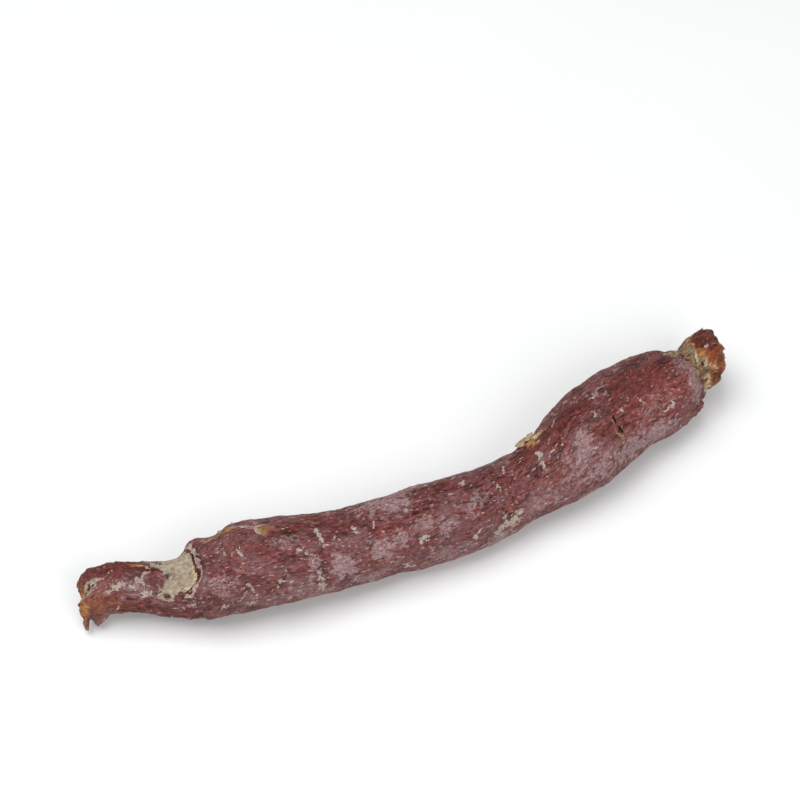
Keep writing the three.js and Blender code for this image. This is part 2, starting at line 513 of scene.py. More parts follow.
@dataclass(frozen=True)
class DriedRootFinish:
    """Steamed and dried ginseng root: hard, horny red-brown flesh under a thin wrinkled skin.

    Steaming turns the starch to a dense, slightly clear red-brown gel, so the skin is a deep red
    where its dust is worn off and thin ends glow amber. Drying draws it into fine lengthwise wrinkles,
    and starch and dust lie on it as a dull lilac-white bloom with pale crumbs. Where side roots
    broke off there is dry cream cork.
    """

    name: str = "steamed_dried_root"
    deep: str = "#36120e"
    flesh: str = "#6d332d"
    dry: str = "#9a625a"
    mauve: str = "#6a403e"
    # the warm red that warm patches and dust-free skin are tinted towards
    rubbed: str = "#752a25"
    film: str = "#957274"
    # patterns, by their real sizes in mm; grit and pebbles are drawn as coarse as they need to show
    streak: Grain = Grain(1.5, 0.5, 3.0, 4.0)
    band: Grain = Grain(15.0, 2.4, 11.0)
    grit: Grain = Grain(0.5, 0.32, 17.0, 2.0)
    blotch: Grain = Grain(9.0, 6.0, 23.0)
    warm_patch: Grain = Grain(12.0, 5.0, 71.0, 2.0)
    film_grain: Grain = Grain(1.0, 0.4, 31.0, 4.0)
    film_patch: Grain = Grain(6.0, 4.0, 37.0, 2.0)
    crumb_edge: Grain = Grain(0.4, 0.3, 53.0, 1.0)
    octave_share: float = 0.6
    pebble: tuple[float, float] = (1.15, 0.72)
    # how lengthwise streaks wander: over what distance, and how far aside, in mm
    wander_size: float = 11.0
    wander_reach: float = 1.1
    # how much each thing lightens or darkens the skin, and the tones that the colours span
    band_tone: float = 0.25
    # fine grit is drawn lighter where it stands up: partly random grain, partly painted highlight
    grit_highlight_tone: float = 0.56
    # pebbles are drawn darker towards their sunken edges: painted shade
    pebble_shade_tone: float = -0.34
    # creases are drawn darker: painted shade
    crease_shade_tone: float = -0.25
    # dust-free skin is drawn darker; along the top and back this is painted shadow
    bare_shade_tone: float = -0.06
    # the warm patches are drawn lighter: painted light
    painted_light_tone: float = 0.17
    tones: tuple[float, float] = (0.48, 1.06)
    flesh_place: float = 0.45
    # where the mauve blotches and the warm patches begin and are full, and their most
    dusk: tuple[float, float] = (0.42, 0.66)
    dusk_most: float = 0.5
    blush: tuple[float, float] = (0.48, 0.74)
    blush_most: float = 0.55
    # dust-free skin is also tinted redder, which darkens it further: partly painted shadow
    bare_and_shaded_blush: float = 0.16
    warm_and_lit_blush: float = 0.26
    # the streak shades between which the roughness rises, and its two ends
    gloss_streaks: tuple[float, float] = (0.3, 0.7)
    gloss: tuple[float, float] = (0.42, 0.66)
    # relief of the skin under its coats, in mm
    grit_relief: float = 0.2
    streak_relief: float = 0.3
    pebble_relief: float = -0.22
    # the film of dust: what thins or thickens it, where it begins and is full, and its most
    film_shares: tuple[tuple[Layer, float], ...] = (
        (Layer.BARE, -0.18),
        (Layer.RUBBED, -0.12),
        (Layer.BLOOM, 0.24),
    )
    film_patch_share: float = 0.8
    film_span: tuple[float, float] = (0.78, 1.16)
    film_most: float = 0.6
    film_roughness: float = 0.85
    film_relief: float = 0.1
    # crumbs: how close they lie along the root against across it, how far they keep to thick
    # dust, the luck that gives the biggest ones, how chipped they are, and their soft edge
    crumb_closeness: float = 0.42
    crumb_dust: float = 0.9
    crumb_luck: float = 1.5
    crumb_chipping: float = 0.9
    crumb_border: tuple[float, float] = (-0.45, -0.36)
    crumbs: tuple[Crumbs, ...] = (
        Crumbs("#b29590", 0.62, 0.24, 0.55, 0.7, 0.06),
        Crumbs("#cbb1aa", 1.0, 0.25, 0.92, 0.82, 0.08),
    )
    # coats: the cover at which a border breaks up in full, the grain's two ends, and its relief
    coat_presence: float = 0.12
    coat_tints: tuple[float, float] = (0.35, 0.65)
    coat_relief: float = 0.3
    # dust breaks up most of the skin's reflection; 0.5 would be clean, polished flesh
    sheen: float = 0.22
    # horny flesh has a faint glaze, and light goes about a millimetre into the amber, red furthest
    glaze: float = 0.08
    glaze_roughness: float = 0.12
    glow: float = 0.35
    glow_colours: tuple[float, float, float] = (1.0, 0.35, 0.12)
    glow_depth: float = 1.2
    coats: tuple[Coat, ...] = (
        Coat(Layer.BLOOM, "#c6afae", "#7d5c5f", 0.42, 1.3, 0.9, 0.95, 0.04, 0.4, 0.5),
        Coat(Layer.AMBER, "#c48b48", "#7d421a", 1.3, 1.6, 0.2, 0.4, 0.04, 0.45, 0.95),
        Coat(Layer.RUST, "#9c4a1e", "#63220c", 0.9, 1.8, 0.3, 0.4, 0.03, 0.25, 0.95),
        Coat(Layer.OLIVE, "#b09271", "#513a27", 0.5, 3.0, 0.5, 0.75, 0.08),
        Coat(Layer.CORK, "#bbad98", "#93806c", 0.5, 1.5, 0.4, 0.9, 0.06),
        # pale dry fibres and edges, and one spot on the bud that is painted highlight
        Coat(Layer.STRAW, "#dac9a8", "#a98e68", 0.4, 1.5, 0.5, 0.85, 0.06, 0.16),
        Coat(Layer.RED, "#702b1a", "#380f07", 0.8, 2.0, 0.35, 0.45, 0.02, 0.2),
        # pale cream scars and rims, and a few specks on the bud that are painted highlight
        Coat(Layer.SCAR, "#d0beb2", "#8b746c", 0.26, 1.5, 1.1, 0.92, 0.09, 0.14),
        # dark brown: real stains on the torn patch, and painted shade in holes, the slit, pits and the
        # bud's clefts
        Coat(Layer.HOLLOW, "#3b241a", "#180a06", 0.5, 1.0, 0.3, 0.8, -0.08, 0.3),
    )

    def material(self) -> bpy.types.Material:
        """Builds the finish.

        Returns:
            A material that reads the skin's own attributes.
        """
        made = bpy.data.materials.new(self.name)
        made.use_nodes = True
        tree = made.node_tree
        tree.nodes.clear()
        place = add_node(tree, "ShaderNodeAttribute", {"attribute_name": STRAIGHT}).outputs["Vector"]
        flow = self._flow(tree, place)
        stack = self._skin(tree, place, flow)
        stack = self._film(tree, place, flow, stack)
        for coat in self.coats:
            stack = self._lay(tree, coat, flow, stack)
        bump = add_node(
            tree,
            "ShaderNodeBump",
            inputs={"Strength": 1.0, "Distance": MM, "Height": stack.height},
        )
        clear = add_node(tree, "ShaderNodeAttribute", {"attribute_name": Layer.AMBER.value})
        horny = add_node(tree, "ShaderNodeAttribute", {"attribute_name": Layer.RED.value})
        glow = add_node(
            tree, "ShaderNodeMath", {"operation": "MULTIPLY"}, {0: clear.outputs["Fac"], 1: self.glow}
        )
        either = add_node(
            tree,
            "ShaderNodeMath",
            {"operation": "MAXIMUM"},
            {0: clear.outputs["Fac"], 1: horny.outputs["Fac"]},
        )
        glaze = add_node(
            tree, "ShaderNodeMath", {"operation": "MULTIPLY"}, {0: either.outputs[0], 1: self.glaze}
        )
        shader = add_node(
            tree,
            "ShaderNodeBsdfPrincipled",
            inputs={
                "Base Color": stack.colour,
                "Roughness": stack.roughness,
                "Normal": bump.outputs["Normal"],
                "IOR": 1.5,
                "Specular IOR Level": self.sheen,
                "Coat Weight": glaze.outputs[0],
                "Coat Roughness": self.glaze_roughness,
                "Subsurface Weight": glow.outputs[0],
                "Subsurface Radius": self.glow_colours,
                "Subsurface Scale": self.glow_depth * MM,
            },
        )
        add_node(tree, "ShaderNodeOutputMaterial", inputs={"Surface": shader.outputs[0]})
        return made

    def _flow(self, tree: bpy.types.NodeTree, place: bpy.types.NodeSocket) -> bpy.types.NodeSocket:
        """Bends the straightened places a little, so that lengthwise streaks wander.

        Args:
            tree: The node tree.
            place: Straightened places, in mm.

        Returns:
            The bent places.
        """
        drift = add_node(
            tree,
            "ShaderNodeTexNoise",
            inputs={"Vector": place, "Scale": 1 / self.wander_size, "Detail": 2.0},
        )
        centred = add_node(
            tree,
            "ShaderNodeVectorMath",
            {"operation": "SUBTRACT"},
            {0: drift.outputs["Color"], 1: (0.5, 0.5, 0.5)},
        )
        reach = self.wander_reach * 2
        bent = add_node(
            tree,
            "ShaderNodeVectorMath",
            {"operation": "MULTIPLY_ADD"},
            {0: centred.outputs[0], 1: (reach, reach, reach), 2: place},
        )
        return bent.outputs[0]

    def _grain(
        self,
        tree: bpy.types.NodeTree,
        place: bpy.types.NodeSocket,
        grain: Grain,
    ) -> bpy.types.NodeSocket:
        """Lays random shading over the root.

        Args:
            tree: The node tree.
            place: Places in mm.
            grain: The shading's sizes.

        Returns:
            A value from 0 to 1, mostly near the middle.
        """
        scaled = add_node(
            tree,
            "ShaderNodeMapping",
            inputs={
                "Vector": place,
                "Location": (grain.shift, grain.shift, grain.shift),
                "Scale": (1 / grain.along, 1 / grain.across, 1 / grain.across),
            },
        )
        shading = add_node(
            tree,
            "ShaderNodeTexNoise",
            inputs={
                "Vector": scaled.outputs[0],
                "Scale": 1.0,
                "Detail": grain.detail,
                "Roughness": self.octave_share,
            },
        )
        return shading.outputs["Fac"]

    def _skin(
        self,
        tree: bpy.types.NodeTree,
        place: bpy.types.NodeSocket,
        flow: bpy.types.NodeSocket,
    ) -> Stack:
        """The red-brown skin under its coats, with its lengthwise streaks; shade is painted into its
        creases and between its pebbles, and highlights onto its grit.

        Args:
            tree: The node tree.
            place: Straightened places, in mm.
            flow: The same places, bent so that streaks wander.

        Returns:
            The first colour, roughness and height.
        """
        streak = self._grain(tree, flow, self.streak)
        # darker towards each pebble's sunken edge: painted shade
        pebble = self._pebbles(tree, flow)
        band = self._grain(tree, flow, self.band)
        # the grit lightens the skin where it also lifts it: partly painted highlight
        grit = self._grain(tree, place, self.grit)
        blotch = self._grain(tree, place, self.blotch)
        # painted shade in the folds, low dimples and the bud's seams
        crease = add_node(tree, "ShaderNodeAttribute", {"attribute_name": Layer.CREASE.value})
        tone = streak
        # dust-free skin, drawn darker and redder: partly painted shadow along the top and back
        bare = add_node(tree, "ShaderNodeAttribute", {"attribute_name": Layer.BARE.value})
        # warmer, lighter patches: the lightening is painted light
        rubbed = add_node(tree, "ShaderNodeAttribute", {"attribute_name": Layer.RUBBED.value})
        shares = (
            (band, self.band_tone),
            (grit, self.grit_highlight_tone),
            (pebble, self.pebble_shade_tone),
            (crease.outputs["Fac"], self.crease_shade_tone),
            (bare.outputs["Fac"], self.bare_shade_tone),
            (rubbed.outputs["Fac"], self.painted_light_tone),
        )
        for part, share in shares:
            tone = add_node(
                tree, "ShaderNodeMath", {"operation": "MULTIPLY_ADD"}, {0: part, 1: share, 2: tone}
            ).outputs[0]
        ranged = add_node(
            tree,
            "ShaderNodeMapRange",
            inputs={"Value": tone, "From Min": self.tones[0], "From Max": self.tones[1]},
        )
        ramp = add_node(tree, "ShaderNodeValToRGB", inputs={"Fac": ranged.outputs[0]})
        first, last = ramp.color_ramp.elements
        first.color = linear(self.deep)
        last.color = linear(self.dry)
        ramp.color_ramp.elements.new(self.flesh_place).color = linear(self.flesh)
        dusk = add_node(
            tree,
            "ShaderNodeMapRange",
            inputs={
                "Value": blotch,
                "From Min": self.dusk[0],
                "From Max": self.dusk[1],
                "To Max": self.dusk_most,
            },
        )
        colour = add_node(
            tree,
            "ShaderNodeMix",
            {"data_type": "RGBA"},
            {0: dusk.outputs[0], 6: ramp.outputs[0], 7: linear(self.mauve)},
        )
        warm = self._grain(tree, place, self.warm_patch)
        for part, share in ((bare, self.bare_and_shaded_blush), (rubbed, self.warm_and_lit_blush)):
            warm = add_node(
                tree,
                "ShaderNodeMath",
                {"operation": "MULTIPLY_ADD"},
                {0: part.outputs["Fac"], 1: share, 2: warm},
            ).outputs[0]
        blush = add_node(
            tree,
            "ShaderNodeMapRange",
            inputs={
                "Value": warm,
                "From Min": self.blush[0],
                "From Max": self.blush[1],
                "To Max": self.blush_most,
            },
        )
        colour = add_node(
            tree,
            "ShaderNodeMix",
            {"data_type": "RGBA", "blend_type": "COLOR"},
            {0: blush.outputs[0], 6: colour.outputs[2], 7: linear(self.rubbed)},
        )
        gloss = add_node(
            tree,
            "ShaderNodeMapRange",
            inputs={
                "Value": streak,
                "From Min": self.gloss_streaks[0],
                "From Max": self.gloss_streaks[1],
                "To Min": self.gloss[0],
                "To Max": self.gloss[1],
            },
        )
        height = add_node(
            tree, "ShaderNodeMath", {"operation": "MULTIPLY"}, {0: grit, 1: self.grit_relief}
        )
        for part, share in ((streak, self.streak_relief), (pebble, self.pebble_relief)):
            height = add_node(
                tree,
                "ShaderNodeMath",
                {"operation": "MULTIPLY_ADD"},
                {0: part, 1: share, 2: height.outputs[0]},
            )
        return Stack(colour.outputs[2], gloss.outputs[0], height.outputs[0])

    def _pebbles(self, tree: bpy.types.NodeTree, flow: bpy.types.NodeSocket) -> bpy.types.NodeSocket:
        """The pebbled surface between the wrinkles; the skin is drawn darker towards each pebble's
        sunken edge, which is painted shade.

        Args:
            tree: The node tree.
            flow: Places in mm, bent so that streaks wander.

        Returns:
            How far each place is from its pebble's middle, as a share of the pebble's size.
        """
        length, width = self.pebble
        scaled = add_node(
            tree,
            "ShaderNodeMapping",
            inputs={"Vector": flow, "Scale": (1 / length, 1 / width, 1 / width)},
        )
        cell = add_node(
            tree,
            "ShaderNodeTexVoronoi",
            {"feature": "F1"},
            {"Vector": scaled.outputs[0], "Scale": 1.0, "Randomness": 1.0},
        )
        return cell.outputs["Distance"]

    def _film(
        self,
        tree: bpy.types.NodeTree,
        place: bpy.types.NodeSocket,
        flow: bpy.types.NodeSocket,
        under: Stack,
    ) -> Stack:
        """The dull film of starch dust and its scattered pale crumbs; thinner where the skin is kept
        free of dust and on the warm patches.

        Args:
            tree: The node tree.
            place: Straightened places, in mm.
            flow: The same places, bent so that streaks wander.
            under: What it lies on.

        Returns:
            The stack with the film on it.
        """
        grain = self._grain(tree, flow, self.film_grain)
        lying = self._grain(tree, place, self.film_patch)
        for layer, share in self.film_shares:
            amount = add_node(tree, "ShaderNodeAttribute", {"attribute_name": layer.value})
            lying = add_node(
                tree,
                "ShaderNodeMath",
                {"operation": "MULTIPLY_ADD"},
                {0: amount.outputs["Fac"], 1: share, 2: lying},
            ).outputs[0]
        both = add_node(
            tree,
            "ShaderNodeMath",
            {"operation": "MULTIPLY_ADD"},
            {0: lying, 1: self.film_patch_share, 2: grain},
        )
        amount = add_node(
            tree,
            "ShaderNodeMapRange",
            inputs={
                "Value": both.outputs[0],
                "From Min": self.film_span[0],
                "From Max": self.film_span[1],
                "To Max": self.film_most,
            },
        )
        colour = add_node(
            tree,
            "ShaderNodeMix",
            {"data_type": "RGBA"},
            {0: amount.outputs[0], 6: under.colour, 7: linear(self.film)},
        ).outputs[2]
        roughness = add_node(
            tree,
            "ShaderNodeMix",
            {"data_type": "FLOAT"},
            {0: amount.outputs[0], 2: under.roughness, 3: self.film_roughness},
        ).outputs[0]
        height = add_node(
            tree,
            "ShaderNodeMath",
            {"operation": "MULTIPLY_ADD"},
            {0: grain, 1: self.film_relief, 2: under.height},
        ).outputs[0]
        stack = Stack(colour, roughness, height)
        for crumbs in self.crumbs:
            stack = self._strew(tree, crumbs, flow, lying, stack)
        return stack

    def _strew(
        self,
        tree: bpy.types.NodeTree,
        crumbs: Crumbs,
        flow: bpy.types.NodeSocket,
        lying: bpy.types.NodeSocket,
        under: Stack,
    ) -> Stack:
        """Strews one size of crumbs, which are longer along the root than across it.

        Args:
            tree: The node tree.
            crumbs: Their size, number and colour.
            flow: Places in mm, bent so that streaks wander.
            lying: Where dust lies thickest, from 0 to 1.
            under: What they lie on.

        Returns:
            The stack with the crumbs on it.
        """
        scale = 1 / crumbs.spacing
        scaled = add_node(
            tree,
            "ShaderNodeMapping",
            inputs={"Vector": flow, "Scale": (self.crumb_closeness * scale, scale, scale)},
        )
        cell = add_node(
            tree, "ShaderNodeTexVoronoi", inputs={"Vector": scaled.outputs[0], "Scale": 1.0}
        )
        draw = add_node(tree, "ShaderNodeSeparateColor", inputs={0: cell.outputs["Color"]})
        luck = add_node(
            tree,
            "ShaderNodeMath",
            {"operation": "MULTIPLY_ADD"},
            {0: lying, 1: self.crumb_dust, 2: draw.outputs[0]},
        )
        size = add_node(
            tree,
            "ShaderNodeMapRange",
            inputs={
                "Value": luck.outputs[0],
                "From Min": crumbs.scarcity,
                "From Max": self.crumb_luck,
                "To Max": crumbs.radius * scale,
            },
        )
        jagged = self._grain(tree, flow, self.crumb_edge)
        chipped = add_node(
            tree,
            "ShaderNodeMath",
            {"operation": "MULTIPLY_ADD"},
            {0: jagged, 1: self.crumb_chipping, 2: cell.outputs["Distance"]},
        )
        inside = add_node(
            tree,
            "ShaderNodeMath",
            {"operation": "SUBTRACT"},
            {0: size.outputs[0], 1: chipped.outputs[0]},
        )
        shown = add_node(
            tree,
            "ShaderNodeMapRange",
            inputs={
                "Value": inside.outputs[0],
                "From Min": self.crumb_border[0],
                "From Max": self.crumb_border[1],
                "To Max": crumbs.opacity,
            },
        )
        colour = add_node(
            tree,
            "ShaderNodeMix",
            {"data_type": "RGBA"},
            {0: shown.outputs[0], 6: under.colour, 7: linear(crumbs.colour)},
        )
        height = add_node(
            tree,
            "ShaderNodeMath",
            {"operation": "MULTIPLY_ADD"},
            {0: shown.outputs[0], 1: crumbs.rise, 2: under.height},
        )
        return Stack(colour.outputs[2], under.roughness, height.outputs[0])

    def _lay(
        self, tree: bpy.types.NodeTree, coat: Coat, flow: bpy.types.NodeSocket, under: Stack
    ) -> Stack:
        """Lays one coat where its attribute says, with a border broken up by its own grain.

        Args:
            tree: The node tree.
            coat: The coat.
            flow: Places in mm.
            under: What it lies on.

        Returns:
            The stack with the coat on it.
        """
        amount = add_node(tree, "ShaderNodeAttribute", {"attribute_name": coat.layer.value})
        # each layer's name gives it a part of the noise of its own
        shift = 5.0 * len(coat.layer.value) + ord(coat.layer.value[0])
        size = Grain(coat.grain * coat.stretch, coat.grain, shift, detail=4.0)
        grain = self._grain(tree, flow, size)
        centred = add_node(tree, "ShaderNodeMath", {"operation": "SUBTRACT"}, {0: grain, 1: 0.5})
        present = add_node(
            tree,
            "ShaderNodeMapRange",
            inputs={
                "Value": amount.outputs["Fac"],
                "From Max": self.coat_presence,
                "To Max": 2 * coat.breakup,
            },
        )
        broken = add_node(
            tree,
            "ShaderNodeMath",
            {"operation": "MULTIPLY_ADD"},
            {0: centred.outputs[0], 1: present.outputs[0], 2: amount.outputs["Fac"]},
        )
        mask = add_node(
            tree,
            "ShaderNodeMapRange",
            {"interpolation_type": "SMOOTHSTEP"},
            {
                "Value": broken.outputs[0],
                "From Min": 0.5 - coat.softness,
                "From Max": 0.5 + coat.softness,
                "To Max": coat.opacity,
            },
        )
        tint = add_node(
            tree,
            "ShaderNodeMapRange",
            inputs={
                "Value": grain,
                "From Min": self.coat_tints[0],
                "From Max": self.coat_tints[1],
            },
        )
        own = add_node(
            tree,
            "ShaderNodeMix",
            {"data_type": "RGBA"},
            {0: tint.outputs[0], 6: linear(coat.dark), 7: linear(coat.light)},
        )
        colour = add_node(
            tree,
            "ShaderNodeMix",
            {"data_type": "RGBA"},
            {0: mask.outputs[0], 6: under.colour, 7: own.outputs[2]},
        )
        roughness = add_node(
            tree,
            "ShaderNodeMix",
            {"data_type": "FLOAT"},
            {0: mask.outputs[0], 2: under.roughness, 3: coat.roughness},
        )
        relief = add_node(
            tree,
            "ShaderNodeMath",
            {"operation": "MULTIPLY_ADD"},
            {0: centred.outputs[0], 1: self.coat_relief, 2: coat.rise},
        )
        height = add_node(
            tree,
            "ShaderNodeMath",
            {"operation": "MULTIPLY_ADD"},
            {0: mask.outputs[0], 1: relief.outputs[0], 2: under.height},
        )
        return Stack(colour.outputs[2], roughness.outputs[0], height.outputs[0])


# ---- The skin --------------------------------------------------------------------------------


@dataclass
class RootSkin:
    """The whole root: a fine mesh over the solid, sculpted and marked."""

    name: str = "root_skin"
    # the fine mesh: its grain in mm, how often and how far its facets are smoothed, and the small
    # pointed teeth that are mostly spared
    voxel: float = 0.35
    smoothing: int = 8
    smoothing_share: float = 0.5
    spared_share: float = 0.85
    spared: tuple[Ball, ...] = (
        Ball((-74.5, -1.5, 3.5), (3.0, 3.5, 4.5), ragged=0.0, softness=0.5),
    )
    # relief fades out over this height in mm, so that the underside lies flat
    resting_fade: float = 0.5
    # broad lumps and the dimples between them
    lumps: Hills = Hills((8.0, 5.0, 5.0), 2.0, 2)
    lump_height: float = 0.22
    dimples: Hills = Hills((3.2, 2.2, 2.2), 27.0, 2)
    dimple_depth: float = 0.1
    # lengthwise folds and the finer ribs of torn flesh, which both drift aside as they run
    drifts: tuple[Hills, ...] = (
        Hills((14.0, 9.0, 9.0), 50.0),
        Hills((14.0, 9.0, 9.0), 57.0),
        Hills((14.0, 9.0, 9.0), 64.0),
    )
    drift_reach: float = 1.5
    folds: Hills = Hills((11.0, 2.1, 2.1), 8.0, 2)
    fold_narrowness: float = 2.5
    fold_sharpness: int = 3
    wrinkle_depth: float = 0.2
    ribs: Hills = Hills((6.0, 1.5, 1.5), 61.0, 2)
    rib_narrowness: float = 2.0
    grit: Hills = Hills((1.5, 0.9, 0.9), 17.0, 2)
    grit_height: float = 0.07
    torn_height: float = 1.1
    torn_grit: float = 0.6
    torn_level: float = 0.5
    # cork is smoother than skin, and shade is painted into the folds and the low dimples
    cork_smoothness: float = 0.8
    fold_shade: float = 0.8
    dimple_shade: float = 0.6
    # what is strewn at random, and between which bearings: all round, or away from the front
    seed: int = 11
    strewn_length: tuple[float, float] = (-70, 64)
    all_round: tuple[float, float] = (-90, 270)
    flecks: int = 150
    hidden_scars: int = 18
    scar_bearings: tuple[float, float] = (105, 300)
    hidden_bloom: int = 40
    bloom_bearings: tuple[float, float] = (95, 320)
    pits: int = 26
    # the bud's scales: their size in mm, their height, how uneven they are, how far each keeps to
    # one colour, and the painted shade in the seams and clefts between them, which fibres partly fill
    lobed: Ball = Ball((71.6, 8.0, 11.5), (5.2, 9.5, 9.0), ragged=0.1, softness=0.15)
    lobe_size: float = 3.2
    lobe_stretch: tuple[float, float, float] = (1.3, 1.0, 1.0)
    lobe_unevenness: float = 0.08
    lobe_height: float = 1.0
    lobe_crown: float = 0.6
    lobe_fall: float = 1.6
    lobe_colour: float = 0.35
    seam: tuple[float, float] = (0.22, 0.02)
    cleft: tuple[float, float] = (0.12, 0.0)
    cleft_shade: float = 0.55
    cleft_filling: float = 0.6
    # how rough the torn places are: the thin tip, broken bud, torn patch and shoulder, and the thin
    # end's lower and upper edges
    torn: tuple[Ball, ...] = (
        Ball((-75.5, 1.5, 7.5), (3.0, 7.5, 7.5), strength=0.18),
        Ball((73.8, 9.0, 11.5), (2.4, 9.0, 9.0), strength=0.2),
        Ball((-58.0, -2.0, 12.5), (4.2, 4.2, 2.6), strength=0.3),
        Ball((66.5, 1.0, 6.0), (4.0, 5.0, 6.0), strength=0.35),
        Ball((-65.5, -4.8, 7.4), (4.2, 2.0, 3.0), strength=0.28),
        Ball((-56.5, -9.0, 7.4), (5.4, 2.4, 3.0), strength=0.28),
        Ball((-64.5, 4.8, 11.2), (5.4, 2.0, 2.4), strength=0.2),
    )
    # the torn thin end has a lower tooth, a nick beside it, a second lobe and an upper lobe; the
    # thick end's shoulder has a nick and a small knob, is drawn in under the bud and swells below;
    # the body starts with a step behind the torn patch, and is thinner below it; the bud's far
    # corner is rounded off, and a nick parts its upper and lower scales
    pulls: tuple[Pull, ...] = (
        Pull(Ball((-74.8, -2.6, 3.4), (1.2, 2.2, 3.0), ragged=0.0, softness=0.9), (-0.8, -0.1, -0.9)),
        Pull(Ball((-73.8, -1.9, 2.6), (0.5, 2.4, 2.2), ragged=0.0, softness=0.6), (0.1, 1.2, 1.2)),
        Pull(Ball((-72.2, -2.9, 3.8), (1.6, 2.4, 3.0), ragged=0.0, softness=0.8), (-0.3, 0.2, 0.1)),
        Pull(Ball((-74.8, 0.6, 6.6), (1.2, 1.7, 2.4), ragged=0.0, softness=0.7), (-0.8, 0.1, 0.0)),
        Pull(Ball((-74.0, 4.4, 8.4), (1.5, 2.2, 2.6), ragged=0.0, softness=0.7), (-0.7, 0.2, 0.0)),
        Pull(Ball((67.2, 0.2, 9.9), (1.2, 1.8, 0.8), ragged=0.0, softness=0.6), (-0.9, 0.7, 0.0)),
        Pull(Ball((67.2, 0.0, 8.0), (1.2, 1.6, 1.0), ragged=0.0, softness=0.6), (0.6, -0.3, 0.0)),
        Pull(Ball((68.6, 1.2, 8.6), (2.2, 2.0, 4.2), ragged=0.0, softness=0.8), (-1.1, 0.4, 0.0)),
        Pull(Ball((69.6, 3.4, 9.6), (1.4, 1.6, 2.2), ragged=0.0, softness=0.8), (-0.4, -0.5, -0.4)),
        Pull(Ball((66.6, 13.6, 13.4), (2.0, 2.4, 2.6), ragged=0.0, softness=0.8), (0.3, -0.6, -0.3)),
        Pull(Ball((58.2, -3.2, 8.0), (3.6, 2.4, 3.0), ragged=0.0, softness=0.9), (-0.1, -0.6, -0.3)),
        Pull(Ball((-49.6, 3.6, 12.4), (2.2, 2.4, 2.4), ragged=0.0, softness=0.8), (-0.2, 0.8, 0.6)),
        Pull(Ball((-58.0, -8.6, 7.0), (3.0, 2.0, 2.8), ragged=0.0, softness=0.8), (0.1, 0.6, 0.3)),
        Pull(Ball((74.4, 12.8, 14.6), (1.8, 2.4, 2.4), ragged=0.0, softness=0.8), (-0.7, 0.1, -0.2)),
        Pull(Ball((73.2, 5.6, 14.9), (1.6, 1.0, 1.2), ragged=0.0, softness=0.5), (-1.1, 0.5, -0.2)),
    )
